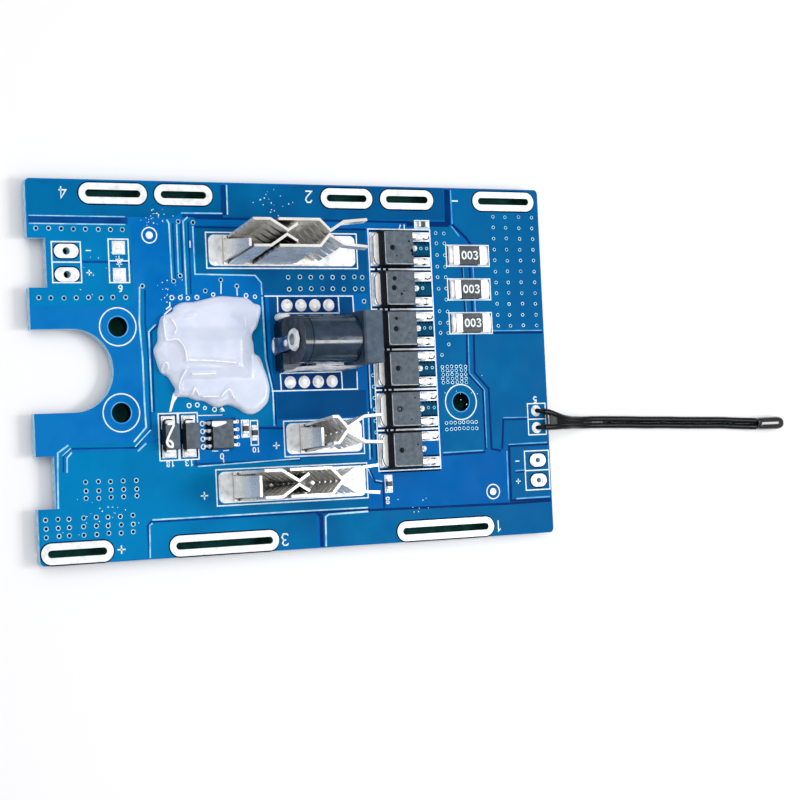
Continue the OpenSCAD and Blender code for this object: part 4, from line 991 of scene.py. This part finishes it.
# Fainter marks on the bodies: middle, radius
FAINT_MARKS = path_of("""
    16.56,14.68,0.42 16.57,7.73,0.3 19.7,21.15,0.2 20.2,19.5,0.34 20.3,18.9,0.26 17.8,12,0.24
    18.3,12.5,0.16 18.9,5.2,0.12 18.6,-9.8,0.14 19.4,-6.1,0.16 17.2,18.6,0.16 19.6,-14.2,0.18
""")
# From a body's right edge and middle: board between the lands, its front edge, its two vias;
# and one of the teeth along its rear edge
PATCH, PATCH_EDGE, TOOTH = paths_of("""
    1.2,-1.05 4.2, ,1.3 1.2,; 1.1,-1.22 4.3,; -0.25,1.36 0,0.85 0.25,1.36
""")
PATCH_VIAS = (2.5, 3.65)
# From a body's left edge and middle: painted shade line round the tab, and the outline of the white
# painted light on the tab
TAB_SHADE_LINE, TAB_LIGHT_OUTLINE = paths_of("""
    -0.6,2.62 -0.98,2.1 -1.04,-1.3 -0.8,-2.2 -0.4,-2.7;
    -0.5,2.6 -0.88,2.05 -0.94,-1.25 -0.7,-2.15 -0.3,-2.68 0.25, ,2.6
""")
# From the tip of the upper lead and of the lower one: painted shade on the solder
UPPER_SOLDER_SHADE, *LOWER_SOLDER_SHADES = paths_of("""
    -1.1,-0.1 -0.55,-0.4 0.1,-0.55 0.6,-0.4 0.75,0.1 0.5,-0.22 0,-0.36 -0.5,-0.2;
    -1,0.45 -0.4,0.36 0.1,0.56 -0.5,0.6; -1,-0.45 -0.5,-0.64 0.1,-0.58 -0.4,-0.38
""")
# Painted shade on the diodes' terminals
DIODE_SOLDER_SHADES = paths_of("""
    -26.09,-9 -25.98,-8.59 -25.75,-8.43 -25.17,-8.34 -24.47,-8.37;
    -26.09,-13.01 -25.98,-13.35 -25.51,-13.7 -24.48,-13.49;
    -22.45,-9.04 -22.3,-8.66 -21.98,-8.46 -20.91,;
    -22.42,-13.07 -22.34,-13.45 -21.86,-13.64 -20.92,-13.51
""")


def add_transistor_marks():
    reliefs = [Relief(*row) for row in (
        ("moulded_marks", BLACK_SHADE_AND_MARKS, "moulded_epoxy"), ("painted_bevel_highlights", BEVEL_HIGHLIGHT, "moulded_epoxy"),
        ("land_patches", TEAL), ("land_edges", OUTLINE), ("patch_rings", HIGHLIGHT_AND_VIA_RING),
        ("solder_shadows", BLACK_SHADE_AND_MARKS, "solder"), ("tab_painted_lights", TAB_LIGHT, "solder"))]
    marks, bevel_highlights, patches, edges, rings, solder_shades, tab_lights = reliefs
    for number, (low, high) in enumerate(FETS):
        y = (low.y + high.y) / 2
        last = number == len(FETS) - 1
        mark_at = low.x + 1.8, y + MARK_SHIFTS[number]
        if number == 4:
            marks.ring(*mark_at, 0.4, 0.2, 0.015, base=high.z)
        else:
            marks.disc(*mark_at, 0.46, 0.015, base=high.z)
        # Painted highlight on the bevel along the body's left and front edges
        bevel_highlights.line([(low.x + 0.46, high.y - 0.7), (low.x + 0.46, low.y + 0.85),
                     (low.x + 0.6, low.y + 0.6), (low.x + 0.85, low.y + 0.47),
                     (high.x - 0.4, low.y + 0.45)], 0.13, 0.012, base=high.z)
        # Printed divider: painted shade on both sides, broken at its left end
        divider_shade_lines = [(low.y - DIVIDER - 0.27, 0.26), (low.y - DIVIDER + 0.27, 0.26)]
        if number == 0:
            divider_shade_lines.append((high.y + 0.03, 0.24))
        for line_y, width in divider_shade_lines:
            edges.line([(low.x - 1.3, line_y), (high.x + 4.3, line_y)], width, EDGE_T)
        if not last:
            for x in (low.x - 0.35 + 0.1 * number, low.x + 0.75, low.x + 1.75):
                edges.disc(x, low.y - DIVIDER, 0.26, INK_T + 0.02, n=10)
        # Board between the lands of the two leads, with vias and a toothed edge
        if not last:
            patches.slab(moved(PATCH, high.x, y), EDGE_T)
            for x in PATCH_VIAS[:1 if number == 1 else 2]:
                rings.ring(high.x + x, y + 0.2, 0.24, 0.12, LINE_T + 0.02, n=10)
            for x in steps(high.x + 1.5, 0.6, 5):
                edges.slab(moved(TOOTH, x, y), LINE_T)
        edges.line(moved(PATCH_EDGE, high.x, y), 0.3, LINE_T + 0.01)
        # Painted shade on the solder round the leads' tips
        solder_shades.slab(moved(UPPER_SOLDER_SHADE, high.x + TIP[0], y + TIP[1]), 0.36, base=LAND)
        for shade_path in LOWER_SOLDER_SHADES:
            solder_shades.slab(moved(shade_path, high.x + TIP[0], y - TIP[1]), 0.36, base=LAND)
        # Painted shade line round the tab, and painted light on the tab
        solder_shades.line(moved(TAB_SHADE_LINE, low.x, y), 0.13, 0.03, base=TAB)
        tab_lights.slab(moved(TAB_LIGHT_OUTLINE, low.x, y), PATCH_W, base=TAB)
    # Painted shade on the diodes' terminals
    for path in DIODE_SOLDER_SHADES:
        solder_shades.line(path, 0.2, 0.4, base=LAND)
    for x, y, r in FAINT_MARKS:
        marks.disc(x, y, r, 0.012, base=FETS[0][1].z, n=9)
    for relief in reliefs:
        relief.make()


# ---- charging jack

# Outlines of the foot's two blocks, from the housing's rear edge
FOOT_BLOCKS, FOOT_H = paths_of("""
    -1.1,4.75 0.2, ,7.9 -0.5, -1.1,6.9; -1.1,2 ,-0.75 0.6, 2.2,0.05 ,0.4 0.2,2
"""), 3.4
# Upper and lower edge of the strip along the jack's side
SIDE_STRIP = paths_of("""
    -5.1,-0.95 -4.6,-1.2; -2.7,-0.4 -1.9,-0.95; 1.2,-0.25 2.1,-1; 4.7,-0.45 5.6,-1.15;
    7.6,-0.3 8,-0.9; 10,-0.1 9.8,-0.6
""")


def add_jack():
    """What the jack's solids leave out: its foot, worn edges, contacts and their solder."""
    low = box_of("jack_housing")[0]
    face = box_of("jack_rear_contact")[0].x
    pin_low, pin_high = box_of("jack_centre_pin")
    y, z = (pin_low.y + pin_high.y) / 2, (pin_low.z + pin_high.z) / 2
    foot = Relief("jack_foot", JACK_FOOT, "jack_plastic")
    for outline in FOOT_BLOCKS:
        foot.slab(moved(outline, low.x, 0), FOOT_H)
    foot.make()
    # Painted shade: a dark ring along the barrel's groove
    turned("jack_groove_shade", (low.x + 1.5, y, z), path_of("0,3.9 0,4.02 0.14,4.02 0.14,3.9"),
           BLACK_SHADE_AND_MARKS, n=64, ring=True)
    turned("jack_ear", (pin_low.x, y, z + 0.15), path_of("-0.08,0.85 -0.02,1 0.1,1"), EAR,
           smooth=False)
    turned("jack_ring", (face, y - 0.1, z + 0.35), path_of("-0.5,1.1 -0.5,1.8 0.02,1.95 0.02,1.1"),
           WHITE_AND_HIGHLIGHT, n=8, ring=True, smooth=False)
    turned("jack_rivet", (-5.2, 3.65, TOP + 4), path_of("-0.22,0.25 -0.16,0.5 0.1,0.62"), WHITE_AND_HIGHLIGHT,
           n=16)
    # Rear strip, from the ear down and outwards to its foot: middle, half its width
    way = [(face + 0.12, y - 0.1, z - 0.6, 1.15), (face - 0.1, 3.85, TOP + 5.2, 1.2),
           (-5.25, 3.55, TOP + 3.6, 1.25), (-5.6, 3.4, TOP + 1.6, 1.28), (-5.75, 3.35, TOP, 1.28)]
    strip = sheet_of("jack_rear_strip", [[(a, b + side * half, c) for side in (-1, 1)]
                                         for a, b, c, half in way], (0.2, 0, 0), STEEL)
    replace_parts(strip, "jack_rear_contact")
    sheet_of("jack_side_strip", [[(*top, TOP + 3), (*bottom, TOP + 1)]
                                 for top, bottom in SIDE_STRIP], (0, 0.12, 0.05), SPRING)
    # Solder: low on the component face, a full drop underneath
    drops = Relief("jack_solder", SOLDER, "solder")
    drops.mound(-4.95, 3.4, 2.2, 3.3, 0.5, TOP - SUNK, power=2.4)
    drops.mound(1.6, low.y + 0.2, 2.8, 1.4, 0.3, TOP - SUNK, power=2.4)
    drops.make(smooth=True)
    under = Relief("jack_solder_under", SOLDER, "solder")
    for leg_x, leg_y in ((face + 0.15, y), (1.6, low.y)):
        under.mound(leg_x, leg_y, 3, 3, box_of("jack_joints")[0].z - UNDER, UNDER + SUNK,
                    power=2.2)
    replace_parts(under.make(smooth=True), "jack_joints")


# ---- residue

# White traces: a thread on a diode, a film on the charger chip, a run from the coating
THREAD, CHIP_FILM, RUN = paths_of("""
    -26,-9.15 -24.95,-9.2 -25.45,-10.3 -26,-11.4 -26.2,-12.2 -25.9,-12.75 -25.3,-12.85
      -25.35,-12.2 -25.85,-11.8;
    -18,-9.75 -17.3,-9.88 -16.1,-9.55 -15.35,-9.25 -15.5,-8.98 -18,-8.95;
    -23.1,-4.4 -24,-4 -24.45,-5.5 -24.85,-7.05 -24.5, -23.95,-5.6
""")
# Specks of flux: middle of each patch, its reach, their number
SPECKS = [(-26.5, 25.4, 3, 26), (-5, 28.5, 4, 22), (-37, -24.5, 6, 24), (-24, 12.5, 4, 18),
          (30, -6, 5, 14), (-12, -20, 5, 14), (-35, 16, 6, 12), (20, -26, 6, 12)]
SPECK_TURNS = (0, 1.2, 2.5, 3.7, 5)


def add_residue():
    """White traces of the coating beside it, and specks of flux."""
    gel = Relief("residue", WHITE_AND_HIGHLIGHT, "silicone")
    gel.line(smooth_path(THREAD, 4), 0.36, 0.22, base=DIODES[0][1].z)
    gel.slab(CHIP_FILM, 0.07, base=box_of("charger_body")[1].z)
    gel.slab(RUN, 0.16)
    gel.mound(-4, 8.25, 2.6, 1.5, 2, TOP, power=2.4)
    dice = random.Random(21)
    for x, y, reach, count in SPECKS:
        for _ in range(count):
            size = dice.uniform(0.05, 0.11)
            cx, cy = x + dice.gauss(0, reach / 2), y + dice.gauss(0, reach / 3)
            turn = dice.uniform(0, 6.3)
            if not (abs(cx) < RIGHT - 0.8 and abs(cy) < REAR - 0.6) or any(
                    within((cx, cy), stadium(low, high, -0.4)) for low, high in SLOTS):
                continue
            gel.slab([(cx + size * dice.uniform(0.6, 1.6) * math.cos(turn + a),
                       cy + size * dice.uniform(0.6, 1.3) * math.sin(turn + a))
                      for a in SPECK_TURNS], LINE_T + 0.02)
    gel.make()


# ---- silicone

COAT_MIDDLE = Vector((-17.5, 2.6))
COAT_OUTLINE = path_of("""
    -24.2,9 -23.5,9.4 -23.2,10.1 -21.7,10.8 -19.9,11.1 -17.3,11.6 -14.7,12 -12.1,11.8 -10.3,11.4
    -9.2,10.7 -8.1,10.3 -8,9 -8.2,7.9 -8.8,6.7 -9.5,5.8 -9.8,4.8 -9.6,3.5 -9.3,2.2 -8.5,1.6
    -7.9,0.4 -7.5,-1 -7.2,-2.7 -7,-3.9 -7.3,-5.5 -8,-6.7 -8.9,-7.6 -10.3,-8 -11.7,-7.7 -12.9,-6.8
    -14,-6.3 -15, -16.4,-6.6 -17.8,-6.2 -18.9,-5.6 -20.4,-5.2 -21.6,-4.8 -22.9,-4.6 -23.9,-4.3
    -23.7,-3.4 -24.4,-2.1 -25.1,-1.3 -25.8,-0.8 -26.4,0.5 -26.8,1.8 -27,2.9 -26.9,3.8 -26.4,4.8
    -26.2,6.6 -25.8,8 -25.2,8.6
""")
# Ridges in the skin of the coating, each path after its height
RIDGES = lines_of("""
    0.35 -23.6,10 -25.2,8.6 -25.6,7.2 -25.4,4.7 -23.9, -23.1,3.9 -22.6,2.8 -22.4,1;
    0.3 -22.1,1.2 -17.8,1 -13.7,0.6; 0.25 -21.4,-1.1 -17.2,;
    0.25 -25.9,0.9 -25.5, -25.3,0.1 -25.6,-0.6 -26,-0.5 -26.1,0.2 -25.9,0.9;
    0.3 -22.5,-0.3 -23.3,-2.3 ,-4.6; 0.3 -21.3,-4.4 -20.8,-3.4 -20.2,-4.5;
    0.25 -19.4,-4.8 -16.8,-4.9; 0.3 -16.3,-4.9 -14.8,-3.7 -14,-5.3;
    0.3 -24.4,8 -23.6,6.5 -24.2,5.6; 0.22 -21.8,8.6 -20.6,8.9; 0.22 -13.2,8.7 -12,8.2 -11.8,6.8
""")
COAT_ROWS = 44  # from the coating's edge to its middle
COAT_ROUND = 1.3  # width of its rounded edge
COAT_SLACK = 0.45  # room left for the ridges under the CAD solid's height
SHELF, SHELF_SLOPE = 0.62, 2.6  # height beside the chip as a share, width of the slope up to it
RIDGE_GAIN, RIDGE_W = 1.4, 0.27
CREST_D = 0.3


def off_path(p, path):
    """Distance from a point to a path."""
    best = 1e9
    for a, b in zip(path, path[1:]):
        a, b = Vector(a), Vector(b)
        t = max(0, min(1, (p - a).dot(b - a) / (b - a).length_squared))
        best = min(best, (p - a - t * (b - a)).length)
    return best


def rise(t):
    t = max(0.0, min(1.0, t))
    return t * t * (3 - 2 * t)


def add_silicone():
    """Poured skin over the controller, whose outline shows through it."""
    outline = smooth_path(COAT_OUTLINE + COAT_OUTLINE[:1], 4)[:-1]
    tall = box_of("silicone_coating")[1].z - TOP - COAT_SLACK
    chip_low, chip_high = box_of("controller_body")
    chip, half = (chip_low + chip_high) / 2, (chip_high - chip_low) / 2
    n = len(outline)
    ripple = [0.1 * math.sin(i * 0.23) + 0.07 * math.sin(i * 0.61 + 1) for i in range(n)]
    points, faces = [], []
    for k in range(COAT_ROWS):
        share = 1 - (k / COAT_ROWS) ** 1.6
        for i, p in enumerate(outline):
            edge = p + (p - COAT_MIDDLE).normalized() * ripple[i] * share
            q = COAT_MIDDLE + (edge - COAT_MIDDLE) * share
            skin = math.sqrt(max(0, 1 - (1 - min((edge - q).length / COAT_ROUND, 1)) ** 2))
            away = max(abs(q.x - chip.x) - half.x, abs(q.y - chip.y) - half.y)
            z = skin * (tall * (SHELF + (1 - SHELF) * rise(1 - away / SHELF_SLOPE))
                        + 0.05 * math.sin(q.x * 0.9 + 0.6 * q.y) * math.cos(q.y * 0.8))
            for lift, path in RIDGES:
                z += skin * lift * RIDGE_GAIN * math.exp(-(off_path(q, path) / RIDGE_W) ** 2)
            points.append((q.x, q.y, TOP + max(z, 0)))
    for k in range(COAT_ROWS - 1):
        faces += band(k * n, (k + 1) * n, n)
    last = (COAT_ROWS - 1) * n
    points.append((COAT_MIDDLE.x, COAT_MIDDLE.y, points[last][2]))
    faces += [[last + i, len(points) - 1, last + (i + 1) % n] for i in range(n)]
    base = len(points)
    points += [(x, y, TOP - 0.02) for x, y, _ in points[:n]]
    faces += band(0, base, n)
    faces.append([base + i for i in reversed(range(n))])
    skin = make_piece("silicone_skin", points, faces, SILICONE, smooth=True)
    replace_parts(skin, "silicone_coating")
    # Painted highlights: white wires along the ridges' crests, apart from the last two
    surface = [Vector(p) for p in points[:last]]
    crest_highlights = []
    for _, path in RIDGES[:-2]:
        crest = []
        for q in smooth_path(path, 4):
            near = min(surface, key=lambda p: (p.x - q.x) ** 2 + (p.y - q.y) ** 2)
            crest.append((q.x, q.y, near.z - 0.02))
        crest_highlights.append(crest)
    wire("silicone_crest_highlights", crest_highlights, CREST_D, WHITE_AND_HIGHLIGHT)


# ---- floor

FLOOR_SIDE = 2000
# Painted shadow: a dark plate on the floor under the board, seen through its openings
FLOOR_SHADOW = path_of("""
    -46.3,23 -43,22.5 ,9.5 -35.6,8.4 -35.2,5.4 -33.4,3 -32.6,0 -33.4,-3 -35.2,-5.4 -35.6,-8.4
    -43,-9.5 ,-22.5 -46.5,-26 ,-30 46.5, ,30 -46.3,
""")


def lay(name, outline, z, tones, scale, specular):
    """Flat piece of the stage."""
    mesh = bpy.data.meshes.new(name)
    mesh.from_pydata([Vector((x, y, z)) * MM for x, y in outline], [], [list(range(len(outline)))])
    mesh.materials.append(finish_of(name, tones, scale, (0.8, 0.9), specular=specular))
    show(name, mesh)


def add_floor():
    """Pale floor, and a painted shadow on it under the board."""
    side = FLOOR_SIDE
    lay("floor", [(-side, -side), (side, -side), (side, side), (-side, side)], 0,
        "f2f2f3 f6f6f7", 3, 0.1)
    lay("painted_floor_shadow", FLOOR_SHADOW, 0.05, "06201f 124440 0c342c", 260, 0.05)


# ---- assembly

place_camera()
light_scene()
dress_frame()
add_thermistor()
add_copper()
add_underside()
add_print()
add_solder()
add_transistor_marks()
add_jack()
add_residue()
add_silicone()
add_floor()
